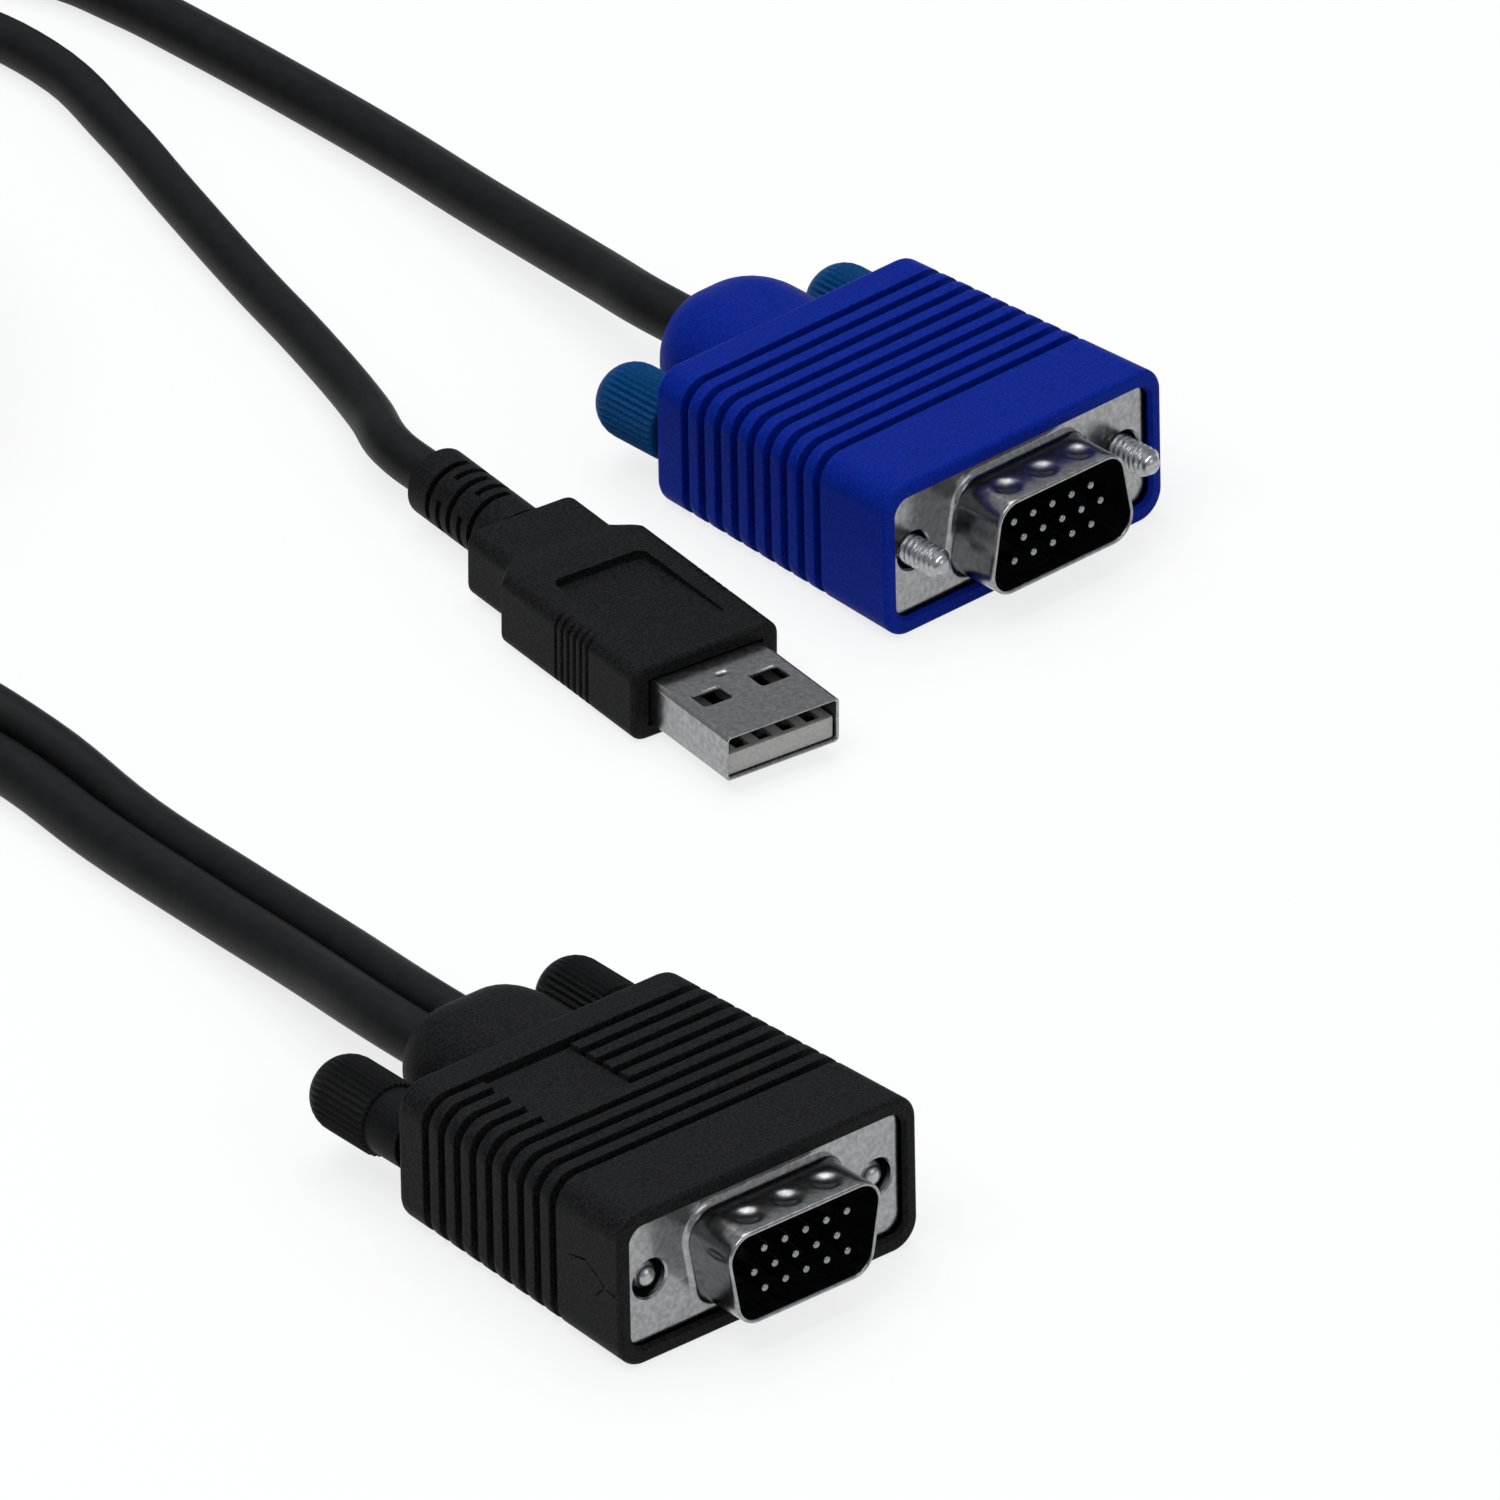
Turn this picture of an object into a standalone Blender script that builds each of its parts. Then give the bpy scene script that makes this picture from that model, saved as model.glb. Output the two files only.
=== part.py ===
"""Computer switch cable: two fifteen-pin plugs and one flat USB plug, lying on a floor.

A thick cord runs from the black plug to the blue one and a thin cord from the black plug to
the USB plug. Near the black plug the two cords lie side by side as a twin cord.

Units are metres, +Z is up and the floor is z = 0. Each plug is built in a frame of its own:
-Y is the way it is pushed in, +X is to its right and +Z is up.
"""
import math

import bmesh
import bpy
from mathutils import Matrix, Vector

# Clearance between pieces that touch on the real cable
GAP = 0.0003
SHARP_ANGLE = math.radians(35)

# Where the plugs lie on the floor and which way they point
BLACK_PLACE = (-0.01735, -0.05017)
BLACK_HEADING = math.radians(39.69)
BLUE_PLACE = (0.00392, 0.06801)
BLUE_HEADING = math.radians(42.50)
USB_PLACE = (-0.00301, 0.02164)
USB_HEADING = math.radians(35.05)

# Moulded hood of the fifteen-pin plugs
HOOD_LENGTH = 0.0310
HOOD_FRONT = (0.0330, 0.0152)
HOOD_REAR = (0.0314, 0.0136)
HOOD_CORNER = 0.0026
HOOD_EDGE = 0.0009
CORNER_STEPS = 4
GROOVE_COUNT = 9
GROOVE_FIRST = 0.0042
GROOVE_PITCH = 0.0022
GROOVE_WIDTH = 0.0006
GROOVE_DEPTH = 0.0005
GROOVE_DRAFT = 0.00005
FIELD_LEFT = -0.0096
FIELD_RIGHT = -0.0002
FIELD_DEPTH = 0.00035
FIELD_DRAFT = 0.0001
FIELD_GROOVES = (0, 4)
BOSS_SIZE = (0.0157, 0.0126)
BOSS_STRAIGHT = 0.0050
BOSS_LENGTH = 0.0112
BOSS_STEPS = 5
BOSS_COLLAR = 0.0005
RIM_LIP = 0.0005
RIM_WINDOW = (0.0302, 0.0119)
RIM_CORNER = 0.0015

# Drawn steel shell and its flange
FLANGE_SIZE = (0.03081, 0.01255)
FLANGE_CORNER = 0.0018
FLANGE_THICKNESS = 0.0008
SCREW_SPACING = 0.02499
SCREW_HOLE_RADIUS = 0.0018
D_SIZE = (0.01770, 0.00920)
D_SLANT = math.radians(10)
D_CORNER = 0.0024
D_STEPS = 5
D_WALL = 0.0004
D_REACH = 0.0058
D_FILLET = 0.0008
D_EDGE = 0.00015
DIMPLE_PITCH = 0.0043
DIMPLE_REACH = 0.0032
DIMPLE_RADIUS = 0.0012
DIMPLE_DEPTH = 0.00022

# Insulator and pins
INSULATOR_FACE = 0.0004
INSULATOR_BLOCK = (0.0192, 0.0106)
INSULATOR_LENGTH = 0.0060
PIN_RADIUS = 0.00038
PIN_REACH = 0.0052
PIN_TAIL = 0.0025
PIN_TIP = 0.0004
PIN_SIDES = 8
PIN_PITCH = 0.00229
PIN_ROW_SPACING = 0.00198
PIN_ROW_SHIFT = 0.00057
PINS_IN_ROW = 5

# Thumbscrews
THREAD_RADIUS = 0.0014
THREAD_LENGTH = 0.0080
SHANK_RADIUS = 0.0010
SHANK_IN_KNOB = 0.0060
SCREW_REACH = 0.0042
SCREW_TRAVEL = 0.0042
SCREW_SIDES = 16
COLLAR_LENGTH = 0.0020
KNOB_RADIUS = 0.00355
KNOB_LENGTH = 0.00895
KNOB_DOME = 0.0032
KNOB_EDGE = 0.0004
KNOB_RIDGES = 20
RIDGE_DEPTH = 0.0003

# Flat USB plug
USB_HEIGHT = 0.0074
USB_FRONT_WIDTH = 0.0156
USB_FRONT_LENGTH = 0.0200
USB_REAR_WIDTH = 0.0117
USB_REAR_HEIGHT = 0.0066
USB_SHOULDER = 0.0024
USB_LENGTH = 0.0283
USB_CORNER = 0.0014
USB_EDGE = 0.0005
USB_GRIP_COUNT = 6
USB_GRIP_FIRST = 0.0070
USB_GRIP_PITCH = 0.00095
USB_GRIP_WIDTH = 0.00035
USB_GRIP_DEPTH = 0.0004
USB_PANEL_REAR = 0.0166
USB_PANEL_FRONT = 0.0035
USB_PANEL_LEFT = -0.0049
USB_PANEL_RIGHT = 0.0048
USB_PANEL_CORNER = 0.0010
USB_PANEL_DEEP = 0.0005
USB_PANEL_SHALLOW = 0.00015
RELIEF_RADIUS = 0.00325
RELIEF_LENGTH = 0.0127
RELIEF_SLOTS = 5
RELIEF_SLOT_FIRST = 0.0030
RELIEF_SLOT_PITCH = 0.0016
RELIEF_SLOT_WIDTH = 0.0007
RELIEF_CORE = 0.0024
USB_SHELL_SIZE = (0.0120, 0.0045)
USB_SHELL_CORNER = 0.0005
USB_SHELL_WALL = 0.0003
USB_SHELL_REACH = 0.0117
USB_SHELL_ROOT = 0.0060
USB_WINDOW_SIZE = (0.0024, 0.0020)
USB_WINDOW_OFFSET = 0.00305
USB_WINDOW_BACK = 0.0065
TONGUE_THICKNESS = 0.00195
TONGUE_SETBACK = 0.0004
CONTACT_COUNT = 4
CONTACT_PITCH = 0.0025
CONTACT_WIDTH = 0.0010
CONTACT_THICKNESS = 0.0002
CONTACT_SLOT = 0.0005
CONTACT_LENGTH = 0.0086

# Cords and their coil; the twin cord parts into its two legs where they leave the coil
THICK_RADIUS = 0.0024
THIN_RADIUS = 0.0021
CORD_STRAIGHT = 0.0070
CORD_STEP = 0.0115
COIL_CENTRE = (-0.1088, 0.0761)
COIL_RADIUS = 0.0288
COIL_WIDTH = 0.0234
COIL_HEIGHT = 0.0182
COIL_CORNER = 0.0030
COIL_SIDES = 40
TIE_WIDTH = 0.0030
TIE_THICKNESS = 0.0009
TIE_ANGLE = math.radians(-25)
TWIN_IN_ANGLE = math.radians(250)
THICK_OUT_ANGLE = math.radians(150)
THIN_OUT_ANGLE = math.radians(125)
TWIST_START = 0.55

# Places that the cords pass, chosen by hand, from plug to coil
TWIN_ROUTE = (
    (-0.0380, -0.0254, 0.0042),
    (-0.0467, -0.0133, 0.0030),
    (-0.0554, -0.0018, 0.0024),
    (-0.0641, 0.0100, 0.0024),
    (-0.0740, 0.0195, 0.0024),
    (-0.0860, 0.0275, 0.0030),
)
THICK_ROUTE = (
    (-0.0119, 0.0871, 0.0054),
    (-0.0232, 0.1032, 0.0036),
    (-0.0310, 0.1139, 0.0028),
    (-0.0380, 0.1224, 0.0024),
    (-0.0489, 0.1340, 0.0024),
    (-0.0620, 0.1455, 0.0024),
    (-0.0780, 0.1510, 0.0024),
    (-0.0960, 0.1485, 0.0028),
    (-0.1120, 0.1380, 0.0058),
    (-0.1220, 0.1260, 0.0095),
)
THIN_ROUTE = (
    (-0.0328, 0.0684, 0.0029),
    (-0.0380, 0.0810, 0.0023),
    (-0.0432, 0.0917, 0.0021),
    (-0.0502, 0.1066, 0.0021),
    (-0.0554, 0.1179, 0.0021),
    (-0.0623, 0.1301, 0.0021),
    (-0.0715, 0.1375, 0.0024),
    (-0.0830, 0.1385, 0.0048),
    (-0.0965, 0.1305, 0.0110),
)


def linear_colour(code):
    """Turn a six-digit sRGB code into Blender's linear colour."""
    values = [int(code[start:start + 2], 16) / 255 for start in (0, 2, 4)]
    linear = [value / 12.92 if value <= 0.04045 else ((value + 0.055) / 1.055) ** 2.4 for value in values]
    return (*linear, 1.0)


def make_material(name, code, roughness, metallic=0.0):
    """A Principled material of one colour."""
    material = bpy.data.materials.new(name)
    material.use_nodes = True
    shader = material.node_tree.nodes["Principled BSDF"]
    shader.inputs["Base Color"].default_value = linear_colour(code)
    shader.inputs["Roughness"].default_value = roughness
    shader.inputs["Metallic"].default_value = metallic
    return material


def rounded_outline(size, radius, steps=CORNER_STEPS, slant=0.0, centre=(0.0, 0.0)):
    """Counter-clockwise outline of a rectangle with round corners; slant leans its sides inward
    towards the bottom, which makes a D."""
    half_width = size[0] / 2
    half_height = size[1] / 2
    narrow = half_width - size[1] * math.tan(slant)
    corners = [
        Vector((-narrow, -half_height)),
        Vector((narrow, -half_height)),
        Vector((half_width, half_height)),
        Vector((-half_width, half_height)),
    ]
    points = []
    for index, corner in enumerate(corners):
        back = (corners[index - 1] - corner).normalized()
        ahead = (corners[(index + 1) % 4] - corner).normalized()
        half_angle = back.angle(ahead) / 2
        middle = corner + (back + ahead).normalized() * radius / math.sin(half_angle)
        start = corner + back * radius / math.tan(half_angle) - middle
        for step in range(steps + 1):
            turn = (math.pi - 2 * half_angle) * step / steps
            points.append(middle + Matrix.Rotation(turn, 2) @ start + Vector(centre))
    return points


def circle(radius, sides, centre=(0.0, 0.0)):
    """Counter-clockwise points of a circle."""
    turns = [2 * math.pi * index / sides for index in range(sides)]
    return [Vector((centre[0] + radius * math.cos(t), centre[1] + radius * math.sin(t))) for t in turns]


def section(outline, depth):
    """Stand a flat outline up across the Y axis at a depth."""
    return [Vector((point[0], depth, point[1])) for point in outline]


def layer(outline, height):
    """Lay a flat outline at a height."""
    return [Vector((point[0], point[1], height)) for point in outline]


def turned(profile, sides, centre=(0.0, 0.0)):
    """Sections of a shape turned about an axis along Y, from (depth, radius) pairs."""
    return [section(circle(radius, sides, centre), depth) for depth, radius in profile]


def skin(mesh, rings, hollow):
    """Join a row of equal sections: a hollow one closes on itself, any other has end caps."""
    loops = [[mesh.verts.new(point) for point in ring] for ring in rings]
    pairs = list(zip(loops, loops[1:]))
    if hollow:
        pairs.append((loops[-1], loops[0]))
    else:
        mesh.faces.new(loops[0])
        mesh.faces.new(loops[-1])
    for first, second in pairs:
        for index in range(len(first)):
            after = (index + 1) % len(first)
            mesh.faces.new((first[index], first[after], second[after], second[index]))


def make_piece(name, shapes, material=None, parent=None, hollow=False):
    """One object from rows of sections, one row for each closed shape."""
    mesh = bmesh.new()
    for rings in shapes:
        skin(mesh, rings, hollow)
    bmesh.ops.recalc_face_normals(mesh, faces=mesh.faces)
    data = bpy.data.meshes.new(name)
    mesh.to_mesh(data)
    mesh.free()
    if material:
        data.materials.append(material)
    data.shade_smooth()
    data.set_sharp_from_angle(angle=SHARP_ANGLE)
    return place_piece(name, data, parent)


def place_piece(name, data, parent, location=(0.0, 0.0, 0.0)):
    """An object for a mesh or curve, in its parent's frame."""
    piece = bpy.data.objects.new(name, data)
    bpy.context.collection.objects.link(piece)
    piece.parent = parent
    piece.location = location
    return piece


def cut(piece, name, shapes, hollow=False):
    """Take shapes, which don't touch each other, out of a piece."""
    cutter = make_piece(name, shapes, parent=piece.parent, hollow=hollow)
    cutter.location = piece.location
    cutter.hide_render = True
    cutter.display_type = "WIRE"
    modifier = piece.modifiers.new(name, "BOOLEAN")
    modifier.operation = "DIFFERENCE"
    modifier.solver = "EXACT"
    modifier.object = cutter


def block_shape(low, high):
    """Two sections of a plain box between two corners."""
    outline = [(low[0], low[2]), (high[0], low[2]), (high[0], high[2]), (low[0], high[2])]
    return [section(outline, low[1]), section(outline, high[1])]


# Places along a fifteen-pin plug, measured forward from the hood's rear face
FLANGE_FRONT = HOOD_LENGTH - RIM_LIP - GAP
FLANGE_BACK = FLANGE_FRONT - FLANGE_THICKNESS
SHELL_FRONT = FLANGE_FRONT + D_REACH
INSULATOR_FRONT = FLANGE_FRONT + INSULATOR_FACE
BLOCK_FRONT = FLANGE_BACK - GAP
BLOCK_BACK = BLOCK_FRONT - INSULATOR_LENGTH
PIN_FRONT = FLANGE_FRONT + PIN_REACH
PIN_BACK = BLOCK_BACK - PIN_TAIL
THREAD_FRONT = FLANGE_FRONT + SCREW_REACH
THREAD_BACK = THREAD_FRONT - THREAD_LENGTH
COLLAR_FRONT = THREAD_BACK - SCREW_TRAVEL - GAP
COLLAR_BACK = COLLAR_FRONT - COLLAR_LENGTH
HOOD_PITCH = math.atan((HOOD_FRONT[1] - HOOD_REAR[1]) / 2 / HOOD_LENGTH)
SCREW_SIDE = {"left": -SCREW_SPACING / 2, "right": SCREW_SPACING / 2}


def hood_outline(size, inset, field, radius, marks):
    """A section of the hood: four more points on its top edge bound the sunk field."""
    outline = rounded_outline((size[0] - 2 * inset, size[1] - 2 * inset), radius)
    top = size[1] / 2
    floor = max(inset, field)
    heights = (top - inset, top - floor, top - floor, top - inset)
    at = len(outline) * 3 // 4
    return outline[:at] + list(zip(marks, heights)) + outline[at:]


def hood_stations():
    """Distance forward, inset and field depth of each section of the ribbed hood."""
    stations = [(0.0, HOOD_EDGE, 0.0), (HOOD_EDGE * 0.3, HOOD_EDGE * 0.3, 0.0), (HOOD_EDGE, 0.0, 0.0)]
    for index in range(GROOVE_COUNT):
        middle = GROOVE_FIRST + index * GROOVE_PITCH
        before = FIELD_DEPTH if FIELD_GROOVES[0] < index <= FIELD_GROOVES[1] else 0.0
        after = FIELD_DEPTH if FIELD_GROOVES[0] <= index < FIELD_GROOVES[1] else 0.0
        half = GROOVE_WIDTH / 2
        stations.append((middle - half - GROOVE_DRAFT, 0.0, before))
        stations.append((middle - half, GROOVE_DEPTH, before))
        stations.append((middle + half, GROOVE_DEPTH, after))
        stations.append((middle + half + GROOVE_DRAFT, 0.0, after))
    stations.append((HOOD_LENGTH - HOOD_EDGE, 0.0, 0.0))
    stations.append((HOOD_LENGTH - HOOD_EDGE * 0.3, HOOD_EDGE * 0.3, 0.0))
    stations.append((HOOD_LENGTH, HOOD_EDGE, 0.0))
    return stations


def hood_sections():
    """Sections of the tapered hood from its rear face to its front."""
    marks = (FIELD_RIGHT + FIELD_DRAFT, FIELD_RIGHT, FIELD_LEFT, FIELD_LEFT - FIELD_DRAFT)
    sections = []
    for ahead, inset, field in hood_stations():
        share = ahead / HOOD_LENGTH
        size = [rear + (front - rear) * share for rear, front in zip(HOOD_REAR, HOOD_FRONT)]
        outline = hood_outline(size, inset, field, HOOD_CORNER - inset / 2, marks)
        sections.append(section(outline, -ahead))
    return sections


def boss_sections(exit_size):
    """Sections of the oval boss, from the end where the cord leaves to the hood's rear face."""
    sections = []
    for step in range(BOSS_STEPS + 1):
        turn = math.pi / 2 * step / BOSS_STEPS
        back = BOSS_STRAIGHT + (BOSS_LENGTH - BOSS_STRAIGHT) * math.cos(turn)
        size = [small + (full - small) * math.sin(turn) for small, full in zip(exit_size, BOSS_SIZE)]
        radius = size[1] / 2 * 0.98
        flat = size[0] / 2 - radius
        outline = hood_outline(size, 0.0, 0.0, radius, (flat * 0.6, flat * 0.2, -flat * 0.2, -flat * 0.6))
        sections.append(section(outline, back))
    root = [Vector((point.x, 0.0, point.z)) for point in sections[-1]]
    return sections + [root]


def make_hood(name, parent, material, exit_size):
    """The moulded hood with its boss, flange pocket, cavity and screw channels."""
    hood = make_piece(name, [boss_sections(exit_size) + hood_sections()], material, parent)
    window = rounded_outline(RIM_WINDOW, RIM_CORNER)
    pocket = rounded_outline([side + 2 * GAP for side in FLANGE_SIZE], FLANGE_CORNER)
    cavity = rounded_outline([side + 2 * GAP for side in INSULATOR_BLOCK], RIM_CORNER)
    lip_back = HOOD_LENGTH - RIM_LIP
    cut(hood, name + "_front_cut", [[
        section(window, -HOOD_LENGTH - 0.002),
        section(window, -lip_back),
        section(pocket, -lip_back),
        section(pocket, -(FLANGE_BACK - GAP)),
        section(cavity, -(FLANGE_BACK - GAP)),
        section(cavity, -(PIN_BACK - GAP)),
    ]])
    bore = SCREW_HOLE_RADIUS
    neck = SHANK_RADIUS + GAP
    profile = [
        (-FLANGE_BACK, bore),
        (-COLLAR_FRONT, bore),
        (-COLLAR_FRONT, neck),
        (-COLLAR_BACK, neck),
        (-COLLAR_BACK, bore),
        (0.002, bore),
    ]
    cut(hood, name + "_screw_cut", [turned(profile, SCREW_SIDES, (x, 0.0)) for x in SCREW_SIDE.values()])
    return hood


def d_outline(inset):
    """The shell's D, shrunk by an inset on every side."""
    size = [side - 2 * inset for side in D_SIZE]
    return rounded_outline(size, max(D_CORNER - inset, D_WALL), D_STEPS, D_SLANT)


def make_shell(name, parent, material):
    """The drawn shell: its flange, its D-shaped rim and the pressed dimples. The flange's seat is
    the part of its face that the hood's lip leaves free."""
    rim = rounded_outline(FLANGE_SIZE, FLANGE_CORNER, D_STEPS)
    seat = rounded_outline([side - 2 * GAP for side in RIM_WINDOW], RIM_CORNER, D_STEPS)
    rings = [
        section(d_outline(D_WALL), -FLANGE_BACK),
        section(d_outline(D_WALL), -(SHELL_FRONT - D_EDGE)),
        section(d_outline(D_WALL - D_EDGE), -SHELL_FRONT),
        section(d_outline(D_EDGE), -SHELL_FRONT),
        section(d_outline(0.0), -(SHELL_FRONT - D_EDGE)),
        section(d_outline(0.0), -(FLANGE_FRONT + D_FILLET)),
        section(d_outline(-D_FILLET * 0.3), -(FLANGE_FRONT + D_FILLET * 0.3)),
        section(d_outline(-D_FILLET), -FLANGE_FRONT),
        section(seat, -FLANGE_FRONT),
        section(rim, -FLANGE_FRONT),
        section(rim, -FLANGE_BACK),
    ]
    shell = make_piece(name, [rings], material, parent, hollow=True)
    hole = [(-FLANGE_FRONT - 0.001, SCREW_HOLE_RADIUS), (-FLANGE_BACK + 0.001, SCREW_HOLE_RADIUS)]
    cut(shell, name + "_hole_cut", [turned(hole, SCREW_SIDES, (x, 0.0)) for x in SCREW_SIDE.values()])
    dimples = []
    for side in (-1, 1):
        for index in (-1, 0, 1):
            dimples.append(dimple_shape(index * DIMPLE_PITCH, side))
    cut(shell, name + "_dimple_cut", dimples)
    return shell


def dimple_shape(across, side):
    """A blunt cone that presses a dimple into the top or bottom of the shell."""
    surface = D_SIZE[1] / 2
    middle = -(FLANGE_FRONT + DIMPLE_REACH)
    rings = []
    for depth, share in ((-0.0005, 1.0), (0.0, 1.0), (DIMPLE_DEPTH * 0.7, 0.7), (DIMPLE_DEPTH, 0.3)):
        outline = circle(DIMPLE_RADIUS * share, 12, (across, middle))
        rings.append(layer(outline, side * (surface - depth)))
    return rings


def pin_places():
    """Across and up places of the fifteen pins in three rows."""
    places = []
    for row, shift in ((1, PIN_ROW_SHIFT), (0, -PIN_ROW_SHIFT), (-1, PIN_ROW_SHIFT)):
        for index in range(PINS_IN_ROW):
            across = (index - (PINS_IN_ROW - 1) / 2) * PIN_PITCH + shift
            places.append((across, row * PIN_ROW_SPACING))
    return places


def make_insulator(name, parent, material):
    """The insulator: a D in the shell, a block behind the flange and a hole for each pin."""
    block = rounded_outline(INSULATOR_BLOCK, RIM_CORNER, D_STEPS)
    face = d_outline(D_WALL + GAP)
    rings = [
        section(face, -INSULATOR_FRONT),
        section(face, -BLOCK_FRONT),
        section(block, -BLOCK_FRONT),
        section(block, -BLOCK_BACK),
    ]
    insulator = make_piece(name, [rings], material, parent)
    bore = [(-INSULATOR_FRONT - 0.001, PIN_RADIUS + GAP), (-BLOCK_BACK + 0.001, PIN_RADIUS + GAP)]
    cut(insulator, name + "_pin_cut", [turned(bore, PIN_SIDES, place) for place in pin_places()])


def make_pins(prefix, parent, material):
    """Fifteen round pins that share one mesh."""
    profile = [
        (-PIN_FRONT, PIN_RADIUS * 0.45),
        (-(PIN_FRONT - PIN_TIP), PIN_RADIUS),
        (-PIN_BACK, PIN_RADIUS),
    ]
    first = make_piece(prefix + "_pin_01", [turned(profile, PIN_SIDES)], material, parent)
    for index, (across, up) in enumerate(pin_places()):
        if index == 0:
            first.location = (across, 0.0, up)
        else:
            place_piece(f"{prefix}_pin_{index + 1:02d}", first.data, parent, (across, 0.0, up))


def ridged_outline(radius, depth):
    """The knob's outline: a circle whose points alternate between ridge and valley."""
    points = circle(radius, 2 * KNOB_RIDGES)
    return [point * (1 - depth / radius) if index % 2 else point for index, point in enumerate(points)]


def make_knob(name, parent, material, screw_x, pulled):
    """A moulded knob with fine ridges, a domed end and a blind bore for its screw."""
    front = GAP + pulled
    dome = front + KNOB_LENGTH - KNOB_DOME
    rings = [
        section(ridged_outline(KNOB_RADIUS - KNOB_EDGE, RIDGE_DEPTH * 0.5), front),
        section(ridged_outline(KNOB_RADIUS, RIDGE_DEPTH), front + KNOB_EDGE),
        section(ridged_outline(KNOB_RADIUS, RIDGE_DEPTH), dome),
    ]
    for step in range(1, 5):
        turn = math.pi / 2 * step / 4.4
        radius = KNOB_RADIUS * math.cos(turn)
        rings.append(section(ridged_outline(radius, RIDGE_DEPTH * 0.3), dome + KNOB_DOME * math.sin(turn)))
    knob = make_piece(name, [rings], material, parent)
    knob.location = (screw_x, 0.0, 0.0)
    bore = [(front - 0.001, SHANK_RADIUS + GAP), (front + SHANK_IN_KNOB + GAP, SHANK_RADIUS + GAP)]
    cut(knob, name + "_bore_cut", [turned(bore, SCREW_SIDES)])


def make_screw(name, parent, material, screw_x, pulled):
    """A jackscrew: threaded end with a domed tip, and a thinner shank that ends in the knob."""
    tip = THREAD_FRONT - pulled
    profile = [
        (-tip, THREAD_RADIUS * 0.35),
        (-(tip - THREAD_RADIUS * 0.25), THREAD_RADIUS * 0.75),
        (-(tip - THREAD_RADIUS * 0.6), THREAD_RADIUS),
        (-(tip - THREAD_LENGTH), THREAD_RADIUS),
        (-(tip - THREAD_LENGTH), SHANK_RADIUS),
        (GAP + pulled + SHANK_IN_KNOB, SHANK_RADIUS),
    ]
    screw = make_piece(name, [turned(profile, SCREW_SIDES)], material, parent)
    screw.location = (screw_x, 0.0, 0.0)


def plug_frame(place, heading, roll):
    """Matrix that lays a fifteen-pin plug on the flat underside of its tapered hood."""
    height = HOOD_REAR[1] / 2 * math.cos(HOOD_PITCH)
    spot = Matrix.Translation((place[0], place[1], height))
    lean = Matrix.Rotation(heading, 4, "Z") @ Matrix.Rotation(-HOOD_PITCH, 4, "X")
    return spot @ lean @ Matrix.Rotation(roll, 4, "Y")


def make_empty(name, matrix):
    """An empty that carries the pieces of one plug."""
    empty = bpy.data.objects.new(name, None)
    bpy.context.collection.objects.link(empty)
    empty.matrix_world = matrix
    return empty


def make_plug(prefix, frame, materials, exit_size, pulled):
    """A whole fifteen-pin plug; pulled is how far back its thumbscrews are drawn."""
    carrier = make_empty(prefix + "_plug", frame)
    make_hood(prefix + "_hood", carrier, materials[prefix + "_hood"], exit_size)
    make_shell(prefix + "_shell", carrier, materials["shell"])
    make_insulator(prefix + "_insulator", carrier, materials["insulator"])
    make_pins(prefix, carrier, materials["pin"])
    for side, screw_x in SCREW_SIDE.items():
        make_knob(f"{prefix}_knob_{side}", carrier, materials[prefix + "_knob"], screw_x, pulled)
        make_screw(f"{prefix}_screw_{side}", carrier, materials["screw"], screw_x, pulled)


def usb_stations():
    """Distance back, width and height of each section of the USB body."""
    stations = [
        (0.0, USB_FRONT_WIDTH - 2 * USB_EDGE, USB_HEIGHT - 2 * USB_EDGE),
        (USB_EDGE, USB_FRONT_WIDTH, USB_HEIGHT),
    ]
    narrow = USB_FRONT_WIDTH - 2 * USB_GRIP_DEPTH
    for index in range(USB_GRIP_COUNT):
        middle = USB_GRIP_FIRST + index * USB_GRIP_PITCH
        half = USB_GRIP_WIDTH / 2
        stations.append((middle - half - GROOVE_DRAFT, USB_FRONT_WIDTH, USB_HEIGHT))
        stations.append((middle - half, narrow, USB_HEIGHT))
        stations.append((middle + half, narrow, USB_HEIGHT))
        stations.append((middle + half + GROOVE_DRAFT, USB_FRONT_WIDTH, USB_HEIGHT))
    stations.append((USB_FRONT_LENGTH, USB_FRONT_WIDTH, USB_HEIGHT))
    stations.append((USB_FRONT_LENGTH + USB_SHOULDER, USB_REAR_WIDTH, USB_REAR_HEIGHT))
    stations.append((USB_LENGTH - USB_EDGE, USB_REAR_WIDTH, USB_REAR_HEIGHT))
    stations.append((USB_LENGTH, USB_REAR_WIDTH - 2 * USB_EDGE, USB_REAR_HEIGHT - 2 * USB_EDGE))
    return stations


def make_usb_body(parent, material):
    """The moulded USB body and its strain relief, in one piece."""
    middle = (0.0, USB_HEIGHT / 2)
    sections = []
    for back, width, height in usb_stations():
        outline = rounded_outline((width, height), USB_CORNER, CORNER_STEPS, 0.0, middle)
        sections.append(section(outline, back))
    relief = rounded_outline((2 * RELIEF_RADIUS,) * 2, RELIEF_RADIUS * 0.98, CORNER_STEPS, 0.0, middle)
    sections.append(section(relief, USB_LENGTH))
    sections.append(section(relief, USB_LENGTH + RELIEF_LENGTH))
    body = make_piece("usb_body", [sections], material, parent)
    half_width = USB_SHELL_SIZE[0] / 2 + GAP
    half_height = USB_SHELL_SIZE[1] / 2 + GAP
    low = (-half_width, -0.002, middle[1] - half_height)
    high = (half_width, USB_SHELL_ROOT + GAP, middle[1] + half_height)
    cut(body, "usb_pocket_cut", [block_shape(low, high)])
    cut(body, "usb_panel_cut", [usb_panel_shape()])
    cut(body, "usb_relief_cut", relief_slots(middle[1]))


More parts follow.
